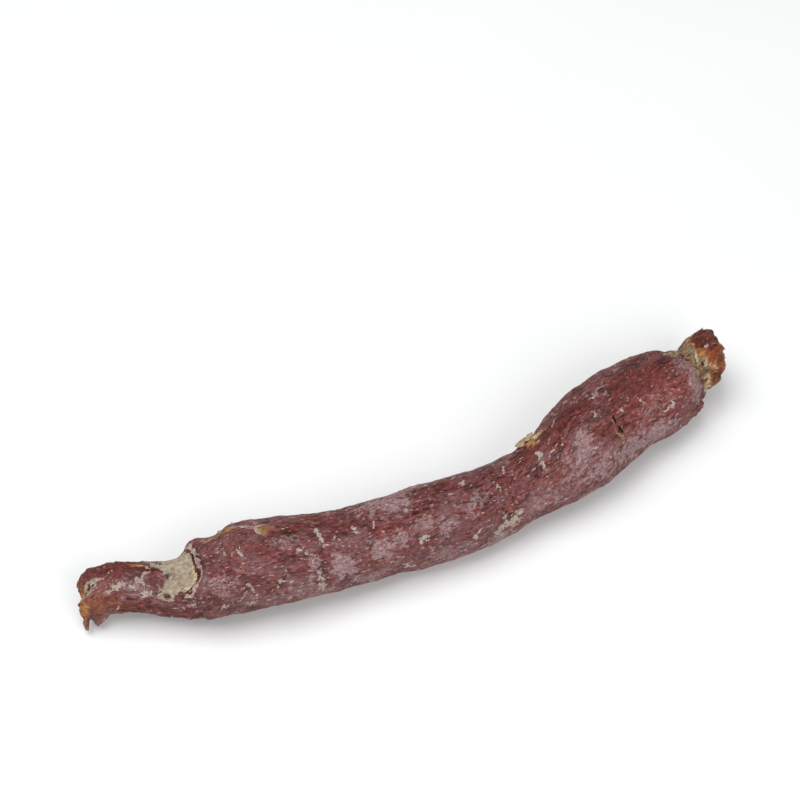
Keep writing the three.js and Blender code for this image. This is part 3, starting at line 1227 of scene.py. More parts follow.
    marks: tuple[tuple[Layer, tuple[Mark, ...]], ...] = (
        (
            Layer.SCAR,
            (
                # healed crosswise scars along the top and front of the thin half
                Spot(-24.7, 5, 0.5, 1.9, turn=-6, ragged=0.6, softness=0.5, strength=0.75),
                Flakes(-24.8, 2, 0.5, 2.0, turn=-6, lift=0.12, count=9, size=0.7),
                Flakes(-27.4, 29, 0.6, 1.6, turn=4, count=6, size=0.5, strength=0.8),
                Flakes(-27.4, 71, 0.7, 2.4, lift=0.14, count=14, size=0.8),
                Flakes(-17.2, 3, 0.5, 1.3, turn=-35, lift=0.1, count=7, size=0.6),
                Flakes(-29.3, 20, 1.5, 0.8, turn=10, count=7, size=0.6, strength=0.85),
                Flakes(-4.0, 46, 1.4, 1.2, turn=-30, lift=0.1, count=11, size=0.7),
                Flakes(-9.0, 89, 2.0, 0.9, count=10, size=0.7, strength=0.9),
                Flakes(6.6, 69, 0.5, 0.9, turn=-30, count=5, size=0.6),
                # the large speckled patch under the bend, and its trail
                Spot(15.8, 69, 1.9, 1.2, turn=-20, lift=0.14, ragged=0.8, softness=0.5),
                Flakes(15.8, 69, 2.4, 1.6, turn=-20, lift=0.05, count=16, size=0.9),
                Flakes(12.3, 88, 0.7, 1.7, turn=-35, count=8, size=0.7),
                Flakes(14.3, 8, 0.5, 1.3, turn=-30, count=6, size=0.6, strength=0.85),
                Flakes(8.1, -22, 0.8, 0.4, count=4, size=0.6),
                Flakes(25.4, 18, 0.3, 1.8, turn=-15, count=8, size=0.6),
                Flakes(25.8, 0, 0.4, 1.0, turn=-50, count=5, size=0.6),
                Flakes(45.8, 19, 0.3, 0.8, turn=-20, count=4, size=0.6),
                Flakes(39.6, 6, 0.6, 0.3, turn=-30, count=4, size=0.5),
                Flakes(57.0, 54, 1.5, 0.6, turn=-25, count=8, size=0.7),
                Flakes(56.7, 76, 0.8, 0.7, count=6, size=0.6, strength=0.85),
                Flakes(-47.6, 78, 1.0, 0.5, count=6, size=0.6, strength=0.85),
                Flakes(-42.1, 81, 1.4, 0.4, count=7, size=0.6, strength=0.85),
                Flakes(-46.3, 34, 1.2, 1.6, count=8, size=0.45, strength=0.8),
                Flakes(-35.0, 60, 4.0, 1.4, count=14, size=0.5, strength=0.8),
                # a few pale specks on the bud's top scale: painted highlight
                Flakes(70.5, -9, 0.5, 0.5, count=4, size=0.4, strength=0.9),
                # flecks on the tail, and the pale twisted fibre at its broken end
                Flakes(-71.4, -2, 1.4, 0.6, turn=-10, count=8, size=0.9, strength=0.66),
                Flakes(-72.6, 15, 0.7, 0.5, count=5, size=0.8, strength=0.66),
                Flakes(-69.0, 31, 0.9, 0.4, turn=-20, count=5, size=0.8, strength=0.9),
                Flakes(-67.6, 26, 0.8, 0.6, turn=45, count=6, size=0.7),
                Flakes(-65.8, 15, 0.5, 1.1, count=7, size=0.8),
                Flakes(-64.3, 22, 0.2, 0.7, count=3, size=0.7, strength=0.9),
                Flakes(-61.8, 37, 1.1, 0.6, turn=-10, lift=0.08, count=9, size=0.8),
                Flakes(-62.7, 6, 0.5, 0.5, lift=0.08, count=6, size=0.7),
                Flakes(-54.0, 62, 2.4, 0.35, turn=-20, count=9, size=0.6, strength=0.85),
            ),
        ),
        (
            Layer.BLOOM,
            (
                # clear patches
                Spot(-7.4, -23, 3.2, 2.4, ragged=0.8, softness=0.5, strength=0.9),
                Spot(-22.0, 53, 2.7, 2.6, ragged=0.6, softness=0.4),
                Spot(-13.4, 43, 2.2, 2.0, ragged=0.8, softness=0.5, strength=0.8),
                Spot(-8.6, 34, 1.6, 1.5, ragged=0.8, softness=0.5, strength=0.8),
                Spot(-3.0, 24, 1.8, 1.2, ragged=0.8, softness=0.5, strength=0.6),
                Spot(1.2, 36, 1.7, 1.7, ragged=0.8, softness=0.5, strength=0.8),
                Spot(7.7, 21, 2.2, 1.8, ragged=0.9, softness=0.5, strength=0.6),
                Spot(10.6, 12, 1.6, 1.6, ragged=0.9, softness=0.5, strength=0.55),
                Spot(-27.6, 42, 1.1, 2.3, ragged=0.7, softness=0.5, strength=0.8),
                Spot(35.1, 28, 1.8, 2.2, ragged=0.8, softness=0.5),
                Spot(65.4, 30, 1.8, 4.4, ragged=0.8, softness=0.6),
                # thin haze, most of it along the lower front
                Spot(34.0, 52, 4.5, 3.0, ragged=1.0, softness=0.8, strength=0.6),
                Spot(38.0, 72, 4.4, 2.4, ragged=0.9, softness=0.6, strength=0.9),
                Spot(46.0, 74, 5.4, 2.4, ragged=0.9, softness=0.6, strength=0.9),
                Spot(52.5, 80, 4.5, 2.0, ragged=0.9, softness=0.6, strength=0.9),
                Spot(63.0, -8, 1.6, 3.0, ragged=0.9, softness=0.8, strength=0.6),
                Spot(-46.5, 42, 3.2, 2.4, ragged=1.0, softness=0.8, strength=0.55),
                Spot(-32.4, 6, 2.2, 1.5, ragged=1.0, softness=0.8, strength=0.6),
                Spot(-30.0, 75, 6.0, 1.8, ragged=1.0, softness=0.8, strength=0.5),
                Spot(24.0, 70, 6.5, 2.6, ragged=1.0, softness=0.8, strength=0.42),
                Spot(2.0, 82, 5.5, 1.6, ragged=1.0, softness=0.8, strength=0.6),
                Spot(-17.0, 84, 5.0, 1.4, ragged=1.0, softness=0.8, strength=0.5),
                Spot(54.0, 40, 4.0, 1.8, ragged=1.0, softness=0.8, strength=0.5),
                Spot(-64.0, 20, 3.4, 1.8, ragged=1.0, softness=0.8, strength=0.5),
            ),
        ),
        (
            Layer.CORK,
            (
                # the torn patch, then crusts round small holes and spots
                Spot(-54.3, -22, 3.4, 6.0, ragged=0.22, softness=0.15),
                Spot(-57.6, -38, 2.6, 1.3, ragged=1.1, strength=0.75),
                Spot(-57.0, 24, 1.5, 1.5, ragged=0.6),
                Flakes(69.4, 22, 0.7, 0.6, count=5, size=0.6, strength=0.7),
                Arc(-58.1, 39, 1.2, 0.85, band=0.28, ragged=0.6, lift=0.12, strength=1.1),
                Arc(-71.9, 3, 1.8, 1.0, start=165, end=335, band=0.3, ragged=1.1, lift=0.1,
                    strength=0.75),
                Flakes(-72.6, 17, 0.8, 0.4, count=4, size=0.8, strength=0.7),
                Arc(-35.3, -20, 1.6, 1.35, start=130, end=290, band=0.17, ragged=0.6, lift=0.08),
                Arc(-59.5, 10, 2.5, 2.8, start=172, end=258, band=0.08, ragged=0.15, lift=0.14,
                    strength=1.1),
            ),
        ),
        (
            Layer.AMBER,
            (
                # both broken ends, then small clear spots where the skin is thin
                Spot(-75.5, 66, 1.7, 5.6, ragged=0.35, softness=0.4),
                Ball((-78.0, 1.5, 7.5), (4.0, 8.0, 7.5), ragged=0.5, strength=0.62, softness=0.4),
                Ball((72.6, 9.6, 12.8), (6.2, 7.6, 8.4), ragged=0.15, softness=0.2),
                Spot(-71.5, 70, 3.6, 3.8, ragged=0.5, softness=0.8, strength=0.34),
                Spot(-35.0, -20, 1.7, 1.4, ragged=0.3, strength=0.6),
                Spot(-62.4, -38, 0.9, 0.6, ragged=0.8, strength=0.8),
                Spot(-55.9, -12, 0.7, 0.5, ragged=0.8, strength=0.9),
                Spot(-44.9, -49, 2.6, 0.7, ragged=0.9, strength=0.6),
                Spot(-41.4, -42, 1.2, 1.2, ragged=0.7, strength=0.85),
                Spot(26.0, -36, 2.6, 1.3, turn=30, ragged=0.8, strength=0.62),
            ),
        ),
        (
            Layer.RUST,
            (
                # clear orange-red flesh of the broken bud
                Ball((71.8, 7.0, 16.8), (2.2, 2.4, 2.4), ragged=0.4, softness=0.4),
                Ball((74.9, 8.6, 12.4), (1.9, 4.6, 5.4), ragged=0.5, softness=0.5),
                Ball((72.6, 4.6, 14.0), (1.6, 2.0, 3.0), ragged=0.5, strength=0.8, softness=0.5),
                Ball((71.2, 12.2, 12.0), (4.0, 5.0, 7.0), ragged=0.5, strength=0.6, softness=0.4),
                Ball((71.6, 14.4, 7.4), (3.2, 4.2, 4.4), ragged=0.9, strength=0.9, softness=0.4),
                Ball((-76.2, -1.6, 3.4), (1.4, 2.0, 2.8), ragged=0.4, strength=0.62, softness=0.5),
            ),
        ),
        (
            Layer.OLIVE,
            (
                # the fibrous collar round the bud, then brownish stains along the top
                Ball((66.9, 8.5, 15.4), (1.6, 5.0, 2.4), ragged=0.5),
                Ball((68.4, 5.8, 13.8), (1.3, 2.6, 3.6), ragged=0.6),
                Ball((67.6, 12.2, 13.0), (2.0, 2.4, 4.0), ragged=0.6, strength=0.8),
                Ball((69.2, 3.2, 10.0), (1.3, 1.6, 2.4), ragged=0.5, strength=0.6),
                Ball((67.6, 14.6, 8.5), (1.8, 4.0, 4.5), ragged=0.6, strength=0.85),
                Spot(63.1, -32, 2.6, 1.2, ragged=0.7, strength=0.7),
                Spot(-35.8, -19, 0.9, 1.1, ragged=0.5, strength=0.6),
                Spot(-25.3, -22, 0.7, 0.6, turn=20, ragged=1.0, softness=0.8, strength=0.5),
                Spot(-72.2, 5, 2.0, 2.0, ragged=0.8, softness=0.5, strength=0.5),
                Spot(25.2, -38, 1.8, 0.8, turn=30, ragged=0.8, strength=0.65),
                Spot(-47.4, -52, 2.2, 0.4, ragged=0.9, strength=0.5),
                Arc(43.6, 35, 0.7, 2.6, turn=-12, start=60, end=260, band=0.2, strength=0.7,
                    ragged=0.9, lift=0.08),
            ),
        ),
        (
            Layer.STRAW,
            (
                # the patch's dry edge, pale fibres round the bud, and the flake's bed
                Arc(-54.6, -22, 3.5, 5.8, start=5, end=72, band=0.09, ragged=0.4, lift=0.08),
                # a pale spot on the bud's golden scale: painted highlight
                Ball((70.6, 4.9, 14.6), (1.2, 1.4, 1.4), strength=0.5),
                Ball((69.3, 3.4, 10.9), (0.9, 1.5, 2.2), ragged=0.7, strength=0.78, softness=0.5),
                Spot(67.9, -6, 1.1, 0.24, turn=104, ragged=0.25, strength=1.1),
                Spot(68.9, 20, 0.8, 0.3, turn=60, ragged=0.4, strength=0.8),
                Spot(24.6, -42, 1.4, 0.8, turn=40, ragged=0.5, lift=0.1),
                Spot(26.6, -33, 1.4, 0.5, turn=60, ragged=0.8, strength=0.8),
            ),
        ),
        (
            Layer.RED,
            (
                # the scale beside the torn patch, the patch's sunken edge, then the bud's scales
                Spot(-59.5, 9, 2.1, 2.3, lift=0.45, ragged=0.15, softness=0.4, strength=0.52),
                Arc(-54.6, -22, 4.1, 6.5, start=-50, end=80, band=0.07, ragged=0.1),
                Ball((71.2, 11.8, 16.0), (3.2, 3.4, 3.4), ragged=0.25, softness=0.4),
                Ball((74.6, 12.4, 13.6), (2.6, 3.2, 3.0), ragged=0.4, strength=0.66, softness=0.5),
                Ball((72.0, 8.6, 17.0), (1.6, 2.2, 1.8), ragged=0.4, strength=0.62, softness=0.5),
                Ball((71.7, 3.6, 12.0), (1.7, 2.0, 2.6), ragged=0.4, strength=0.74, softness=0.4),
                Ball((74.8, 9.0, 9.0), (2.2, 4.0, 5.0), ragged=0.6, strength=0.7, softness=0.5),
                Ball((73.0, 15.6, 9.0), (2.6, 3.0, 3.2), ragged=0.6, strength=0.7, softness=0.5),
            ),
        ),
        (
            Layer.HOLLOW,
            (
                # small holes, darkened as painted shade
                Spot(-56.8, -8, 0.55, 0.5, lift=-0.3, ragged=0.7, strength=0.62),
                Spot(-58.1, 39, 0.7, 0.45, lift=-0.3, ragged=0.4, strength=0.6),
                Spot(-57.8, -38, 0.7, 0.35, turn=20, lift=-0.15, ragged=0.9, strength=0.6),
                # brown stain on the torn patch
                Spot(-57.0, -37, 1.4, 0.8, turn=15, ragged=1.0, strength=0.46),
                Spot(-55.8, -14, 1.0, 0.7, turn=30, ragged=0.9, strength=0.44),
                Spot(-52.3, -4, 0.35, 1.3, turn=10, ragged=0.9, strength=0.42),
                # the slit's two halves, and a pit in the bud, darkened as painted shade
                Spot(43.3, 24, 0.27, 0.75, turn=-12, lift=-0.15, ragged=0.3, strength=2.4),
                Spot(44.2, 41, 0.3, 0.85, turn=-14, lift=-0.15, ragged=0.3, strength=2.4),
                Ball((68.5, 6.4, 15.0), (0.5, 0.6, 0.6), strength=0.7),
            ),
        ),
        (
            Layer.BARE,
            (
                # the torn end: its upper corner is worn round, and a nick parts its two halves
                Spot(-72.6, -45, 3.2, 3.4, lift=-0.75, ragged=0.1, softness=0.9),
                Spot(-75.2, -9, 1.3, 0.7, lift=-0.9, ragged=0.2, softness=0.5),
                # stretches that are nearly free of dust, drawn darker and redder; along the top and
                # back the darkening is painted shadow
                Spot(52.0, -15, 16.0, 7.0, ragged=0.6, softness=0.8),
                Spot(30.0, -25, 14.0, 6.0, ragged=0.6, softness=0.8),
                Spot(12.0, -20, 10.0, 4.0, ragged=0.6, softness=0.8, strength=0.7),
                Spot(-46.0, 5, 4.0, 3.0, ragged=0.6, softness=0.6, strength=0.5),
                Spot(-65.0, -30, 9.0, 3.5, ragged=0.6, softness=0.6),
                Spot(-68.0, 70, 8.0, 4.0, ragged=0.6, softness=0.6, strength=0.7),
                Spot(-22.0, -22, 22.0, 5.0, ragged=0.6, softness=0.8, strength=0.7),
                Spot(0.0, -30, 14.0, 5.0, ragged=0.6, softness=0.8, strength=0.8),
                Spot(-51.0, 56, 5.5, 2.8, ragged=0.6, softness=0.8, strength=0.7),
                Spot(10.0, 4, 9.0, 3.6, ragged=0.6, softness=0.8, strength=0.5),
            ),
        ),
        (
            Layer.RUBBED,
            (
                # warmer, redder skin that is also drawn lighter: the lightening is painted light
                Spot(55.0, 36, 9.5, 5.5, ragged=0.7, softness=0.8),
                Spot(63.5, 34, 3.6, 4.4, ragged=0.7, softness=0.8, strength=0.9),
                Spot(26.0, 62, 6.0, 3.0, ragged=0.7, softness=0.8, strength=0.5),
                Spot(-70.5, 34, 3.4, 4.0, ragged=0.7, softness=0.8, strength=0.8),
            ),
        ),
        # rims: torn edges of the skin round the patches, holes and slit
        (
            Layer.SCAR,
            (
                Arc(-54.6, -22, 4.75, 7.1, start=-30, end=80, band=0.055, ragged=0.3, lift=0.15,
                    strength=1.15),
                Arc(-59.0, 10, 2.3, 2.9, start=80, end=130, band=0.1, ragged=0.8, strength=0.8),
                Flakes(-54.6, -16, 0.6, 0.8, count=7, size=0.4, strength=0.9),
                Arc(-41.8, -5, 0.6, 0.8, start=-20, end=230, band=0.26, strength=0.55, ragged=1.3),
                Flakes(-43.0, 3, 0.4, 0.8, count=4, size=0.4, strength=0.7),
                Flakes(-39.4, -35, 2.4, 0.4, turn=33, count=9, size=0.6, strength=0.75),
            ),
        ),
        (
            Layer.BLOOM,
            (
                Arc(43.2, -18, 1.6, 1.1, start=60, end=330, band=0.3, strength=0.75, ragged=1.2),
                Spot(-41.0, -41, 1.5, 0.55, turn=32, ragged=0.6, strength=1.3),
                Spot(-38.5, -32, 2.0, 0.5, turn=35, ragged=0.6, lift=0.1, strength=1.3),
                Spot(-36.2, -36, 0.6, 1.0, ragged=0.6, strength=1.2),
            ),
        ),
    )

    def build(self, node: bpy.types.Object, finish: DriedRootFinish) -> bpy.types.Object:
        """Makes the skin, sculpts it, marks it and dresses it.

        Args:
            node: The root's solid.
            finish: What the skin is dressed with.

        Returns:
            The skin.
        """
        skin = self._remeshed(node)
        self._soften(skin.data)
        surface = Surface.of(skin.data)
        covers, raised = self._marked(surface)
        relief = self._wrinkled(surface, covers) + raised + self._lobes(surface, covers)
        relief *= ease(0.0, self.resting_fade, surface.points[:, 2])
        moved = surface.points + surface.normals * relief[:, None]
        for pull in self.pulls:
            near, shift = pull.move(surface)
            moved[near] += shift
        moved[:, 2] = np.maximum(moved[:, 2], 0)
        skin.data.vertices.foreach_set("co", (moved * MM).ravel())
        for layer, cover in covers.items():
            stored = skin.data.attributes.new(layer.value, "FLOAT", "POINT")
            stored.data.foreach_set("value", cover)
        stored = skin.data.attributes.new(STRAIGHT, "FLOAT_VECTOR", "POINT")
        stored.data.foreach_set("vector", surface.straight.ravel())
        skin.data.shade_smooth()
        skin.data.update()
        skin.data.materials.append(finish.material())
        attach(skin, BODY)
        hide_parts(NODE)
        return skin

    def _remeshed(self, node: bpy.types.Object) -> bpy.types.Object:
        """Turns a merged copy of the solid into an even, fine mesh.

        Args:
            node: The root's solid.

        Returns:
            The new object.
        """
        form = bmesh.new()
        form.from_mesh(node.data)
        bmesh.ops.remove_doubles(form, verts=form.verts, dist=0.001 * MM)
        rough = bpy.data.meshes.new(self.name)
        form.to_mesh(rough)
        form.free()
        skin = bpy.data.objects.new(self.name, rough)
        bpy.context.scene.collection.objects.link(skin)
        remesh = skin.modifiers.new("even", "REMESH")
        remesh.mode = "VOXEL"
        remesh.voxel_size = self.voxel * MM
        ready = skin.evaluated_get(bpy.context.evaluated_depsgraph_get())
        fine = bpy.data.meshes.new_from_object(ready)
        skin.modifiers.clear()
        skin.data = fine
        fine.name = self.name
        bpy.data.meshes.remove(rough)
        fine.materials.clear()
        return skin

    def _soften(self, mesh: bpy.types.Mesh) -> None:
        """Rounds off the solid's facets, but not its small pointed teeth.

        Args:
            mesh: The even mesh.
        """
        surface = Surface.of(mesh)
        share = np.full(len(surface.points), self.smoothing_share)
        for ball in self.spared:
            near = ball.near(surface)
            share[near] *= 1 - self.spared_share * ball.cover(surface.part(near))
        ends = np.empty(len(mesh.edges) * 2, dtype=int)
        mesh.edges.foreach_get("vertices", ends)
        here = np.concatenate([ends[0::2], ends[1::2]])
        there = np.concatenate([ends[1::2], ends[0::2]])
        count = np.bincount(here, minlength=len(share))[:, None]
        points = surface.points
        for _ in range(self.smoothing):
            total = [np.bincount(here, points[there, axis], len(share)) for axis in range(3)]
            points = points + share[:, None] * (np.stack(total, axis=-1) / count - points)
        mesh.vertices.foreach_set("co", (points * MM).ravel())
        mesh.update()

    def _marked(self, surface: Surface) -> tuple[dict[Layer, np.ndarray], np.ndarray]:
        """Works out how much of each layer lies on each point.

        Args:
            surface: The skin's points.

        Returns:
            The cover of each layer, and how far the marks lift the skin, in mm.
        """
        covers = {layer: np.zeros(len(surface.points)) for layer in Layer}
        lift = np.zeros(len(surface.points))
        for layer, marks in (*self.marks, *self._strewn()):
            for mark in marks:
                near = mark.near(surface)
                cover = mark.cover(surface.part(near))
                covers[layer][near] = np.maximum(covers[layer][near], cover)
                lift[near] += mark.lift * cover
        return covers, lift

    def _strewn(self) -> tuple[tuple[Layer, tuple[Mark, ...]], ...]:
        """Draws small scars, bloom and darkened pits at random, most of them away from the front; the
        pits' darkness is painted shade.

        Returns:
            For each layer, its marks.
        """
        draw = random.Random(self.seed)

        def where(bearings: tuple[float, float]) -> tuple[float, float]:
            """A random place between two bearings."""
            return draw.uniform(*self.strewn_length), draw.uniform(*bearings)

        flecks = tuple(
            Spot(*where(self.all_round), draw.uniform(0.2, 0.35), draw.uniform(0.4, 1.3),
                 turn=draw.uniform(-60, 60), ragged=0.5, strength=draw.uniform(0.45, 0.75))
            for _ in range(self.flecks)
        )
        scars = tuple(
            Flakes(*where(self.scar_bearings), draw.uniform(0.4, 1.6), draw.uniform(0.8, 2.4),
                   turn=draw.uniform(-30, 30), lift=0.1, count=draw.randint(6, 16),
                   size=draw.uniform(0.35, 0.65), strength=draw.uniform(0.8, 1))
            for _ in range(self.hidden_scars)
        )
        bloom = tuple(
            Spot(*where(self.bloom_bearings), draw.uniform(1.2, 6.0), draw.uniform(0.9, 3.0),
                 turn=draw.uniform(-25, 25), ragged=draw.uniform(0.8, 1.1),
                 softness=draw.uniform(0.5, 0.8), strength=draw.uniform(0.45, 0.85))
            for _ in range(self.hidden_bloom)
        )
        pits = tuple(
            Spot(*where(self.all_round), draw.uniform(0.3, 0.7), draw.uniform(0.3, 0.5),
                 lift=-0.2, ragged=0.5, strength=0.4)
            for _ in range(self.pits)
        )
        return (
            (Layer.SCAR, flecks + scars),
            (Layer.BLOOM, bloom),
            (Layer.HOLLOW, pits),
        )

    def _wrinkled(self, surface: Surface, covers: dict[Layer, np.ndarray]) -> np.ndarray:
        """Works out the skin's lumps, lengthwise wrinkles, grit and torn places.

        Args:
            surface: The skin's points.
            covers: What lies on each of them; the painted shade of the folds and low dimples is added
                to it.

        Returns:
            How far each point moves out, in mm.
        """
        place = surface.straight
        lumps = self.lumps.over(place)
        dimples = self.dimples.over(place)
        drift = np.stack([aside.over(place) for aside in self.drifts], axis=-1)
        wavy = place + self.drift_reach * drift
        valleys = 1 - np.abs(self.folds.over(wavy)) * self.fold_narrowness
        folds = np.clip(valleys, 0, 1) ** self.fold_sharpness
        ribs = 1 - np.abs(self.ribs.over(wavy)) * self.rib_narrowness
        grit = self.grit.over(place)
        torn = np.zeros(len(place))
        for ball in self.torn:
            near = ball.near(surface)
            torn[near] = np.maximum(torn[near], ball.cover(surface.part(near)))
        # painted shade: the folds and low dimples are drawn darker, the folds less on cork
        folds *= 1 - self.cork_smoothness * covers[Layer.CORK]
        painted_shade = self.fold_shade * folds - self.dimple_shade * dimples
        covers[Layer.CREASE] = np.clip(painted_shade, 0, 1)
        return (
            self.lump_height * lumps
            + self.dimple_depth * dimples
            - self.wrinkle_depth * folds
            + self.grit_height * grit
            + self.torn_height * torn * (ribs + self.torn_grit * grit - self.torn_level)
        )

    def _lobes(self, surface: Surface, covers: dict[Layer, np.ndarray]) -> np.ndarray:
        """Swells the bud's scales into lobes, gives each scale one colour, and paints shade into the
        seams and clefts between them.

        Args:
            surface: The skin's points.
            covers: What lies on each of them; each lobe's own colour is evened out, and the painted
                shade of the seams and clefts is added.

        Returns:
            How far each point moves out, in mm.
        """
        near = self.lobed.near(surface)
        part = surface.part(near)
        share = self.lobed.cover(part)
        stretch = np.array(self.lobe_stretch) * self.lobe_size
        uneven = part.grain[:, None] * self.lobe_unevenness
        reach: list[float] = []
        gap: list[float] = []
        lobe: list[tuple[float, ...]] = []
        for place in (part.points / stretch + uneven).tolist():
            distances, middles = noise.voronoi(place)
            reach.append(distances[0])
            gap.append(distances[1] - distances[0])
            lobe.append(tuple(round(value, 2) for value in middles[0]))
        _, number = np.unique(np.array(lobe), axis=0, return_inverse=True)
        number = number.ravel()
        size = np.bincount(number)
        for layer in (Layer.RED, Layer.RUST, Layer.OLIVE, Layer.AMBER):
            own = covers[layer][near]
            even = (np.bincount(number, own) / size)[number]
            covers[layer][near] = own + share * self.lobe_colour * (even - own)
        # painted shade in the seams and clefts between the scales
        covers[Layer.CREASE][near] += share * ease(*self.seam, np.array(gap))
        filled = self.cleft_filling * np.clip(covers[Layer.OLIVE][near], 0, 1)
        cleft = self.cleft_shade * share * ease(*self.cleft, np.array(gap))
        covers[Layer.HOLLOW][near] += cleft * (1 - filled)
        relief = np.zeros(len(surface.points))
        dome = self.lobe_crown - self.lobe_fall * np.array(reach) ** 2
        relief[near] = self.lobe_height * share * dome
        return relief


# ---- Scraps and fibres -----------------------------------------------------------------------


@dataclass(frozen=True)
class DryBarkFinish:
    """Papery dead bark and stem fibre: dry, matt and stringy, a little clear where it is thin."""

    name: str
    light: str
    dark: str
    roughness: float
    # strands: their length and width in mm, the tones that they span and their relief in mm
    strand: tuple[float, float] = (1.6, 0.22)
    tones: tuple[float, float] = (0.36, 0.62)
    relief: float = 0.15
    # a little light goes half a millimetre in, red furthest
    glow: float = 0.15
    glow_colours: tuple[float, float, float] = (1.0, 0.4, 0.15)
    glow_depth: float = 0.5

    def material(self) -> bpy.types.Material:
        """Builds the finish.

        Returns:
            A material of fine strands along the root.
        """
        made = bpy.data.materials.new(self.name)
        made.use_nodes = True
        tree = made.node_tree
        tree.nodes.clear()
        place = add_node(tree, "ShaderNodeTexCoord").outputs["Object"]
        length, width = self.strand
        scale = (1 / (length * MM), 1 / (width * MM), 1 / (width * MM))
        scaled = add_node(tree, "ShaderNodeMapping", inputs={"Vector": place, "Scale": scale})
        strand = add_node(
            tree,
            "ShaderNodeTexNoise",
            inputs={"Vector": scaled.outputs[0], "Scale": 1.0, "Detail": 3.0},
        )
        tint = add_node(
            tree,
            "ShaderNodeMapRange",
            inputs={
                "Value": strand.outputs["Fac"],
                "From Min": self.tones[0],
                "From Max": self.tones[1],
            },
        )
        colour = add_node(
            tree,
            "ShaderNodeMix",
            {"data_type": "RGBA"},
            {0: tint.outputs[0], 6: linear(self.dark), 7: linear(self.light)},
        )
        bump = add_node(
            tree,
            "ShaderNodeBump",
            inputs={
                "Strength": 1.0,
                "Distance": self.relief * MM,
                "Height": strand.outputs["Fac"],
            },
        )
        shader = add_node(
            tree,
            "ShaderNodeBsdfPrincipled",
            inputs={
                "Base Color": colour.outputs[2],
                "Roughness": self.roughness,
                "Normal": bump.outputs["Normal"],
                "IOR": 1.5,
                "Subsurface Weight": self.glow,
                "Subsurface Radius": self.glow_colours,
                "Subsurface Scale": self.glow_depth * MM,
            },
        )
        add_node(tree, "ShaderNodeOutputMaterial", inputs={"Surface": shader.outputs[0]})
        return made


@dataclass(frozen=True)
class Shred:
    """A thin torn scrap, rooted in the skin at one end.

    Its root is in mm along and degrees round the root. Turn is its direction, in degrees from
    the root's length towards the front. Rise is how far its free end stands off the skin and
    curl how far its long sides do, in mm. Taper is how wide its free end is, as a share. Roll
    tips one long side up, in degrees.
    """

    along: float
    bearing: float
    length: float
    width: float
    turn: float = 0.0
    rise: float = 0.5
    curl: float = 0.1
    taper: float = 0.4
    thickness: float = 0.16
    roll: float = 0.0
    ragged: float = 0.5


@dataclass
class Shreds:
    """Thin torn scraps that lie on the skin, together in one piece."""

    name: str
    finish: DryBarkFinish
    scraps: tuple[Shred, ...]
    # how deep a scrap's root lies in the skin, in mm, and its mesh's steps along and across
    sink: float = 0.12
    steps: tuple[int, int] = (8, 4)
    # moves the tears from one scrap to the next
    seed_step: float = 3.7
    # tears along a scrap and across half of it, how far they slant its end, how round its free
    # end is, and how late along it the free end bends up
    tears: tuple[float, float] = (5, 1.5)
    slant: float = 0.3
    rounding: float = 0.8
    bend: float = 1.6
    # a slanting direction along which no two faces lie level
    face_order: tuple[float, float, float] = (1.0, 0.61, 0.37)

    def build(self, surface: Surface) -> bpy.types.Object:
        """Makes every scrap and dresses them.

        Args:
            surface: The finished skin that they lie on.

        Returns:
            The piece.
        """
        whole = bmesh.new()
        for number, scrap in enumerate(self.scraps):
            single = bpy.data.meshes.new("scrap")
            torn = self._tear(surface, scrap, self.seed_step * number)
            torn.to_mesh(single)
            torn.free()
            whole.from_mesh(single)
            bpy.data.meshes.remove(single)
        mesh = bpy.data.meshes.new(self.name)
        whole.to_mesh(mesh)
        whole.free()
        mesh.shade_smooth()
        mesh.materials.append(self.finish.material())
        piece = bpy.data.objects.new(self.name, mesh)
        bpy.context.scene.collection.objects.link(piece)
        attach(piece, BODY)
        return piece

    def _tear(self, surface: Surface, scrap: Shred, seed: float) -> bmesh.types.BMesh:
        """Shapes one scrap: a ragged, tapered, curled sheet with thickness.

        Args:
            surface: The skin.
            scrap: The scrap.
            seed: Makes its edge its own.

        Returns:
            A closed mesh, in metres, in its place.
        """
        point, normal = surface.at(scrap.along, scrap.bearing)
        ahead = Vector((1, 0, 0))
        ahead = (ahead - normal * ahead.dot(normal)).normalized()
        heading = Matrix.Rotation(-math.radians(scrap.turn), 3, normal) @ ahead
        upright = Matrix.Rotation(math.radians(scrap.roll), 3, heading) @ normal
        across = upright.cross(heading)
        form = bmesh.new()
        bmesh.ops.create_grid(form, x_segments=self.steps[0], y_segments=self.steps[1], size=0.5)
        for vert in form.verts:
            share = vert.co.x + 0.5
            side = vert.co.y * 2
            place = Vector((share * self.tears[0], side * self.tears[1], seed))
            torn = scrap.ragged * noise.noise(place)
            rounded = math.sqrt(1 - self.rounding * share**4)
            half = scrap.width / 2 * (1 + (scrap.taper - 1) * share + torn) * rounded
            lift = scrap.rise * share**self.bend + scrap.curl * side * side - self.sink
            reach = scrap.length * share * (1 + self.slant * side * torn)
            vert.co = (point + heading * reach + across * (side * half) + upright * lift) * MM
        bmesh.ops.solidify(form, geom=form.faces[:], thickness=scrap.thickness * MM)
        bmesh.ops.recalc_face_normals(form, faces=form.faces[:])
        # the rim's faces come in an order that changes from run to run, so all are put in a fixed one
        order = Vector(self.face_order)
        form.faces.sort(key=lambda face: face.calc_center_median().dot(order))
        return form


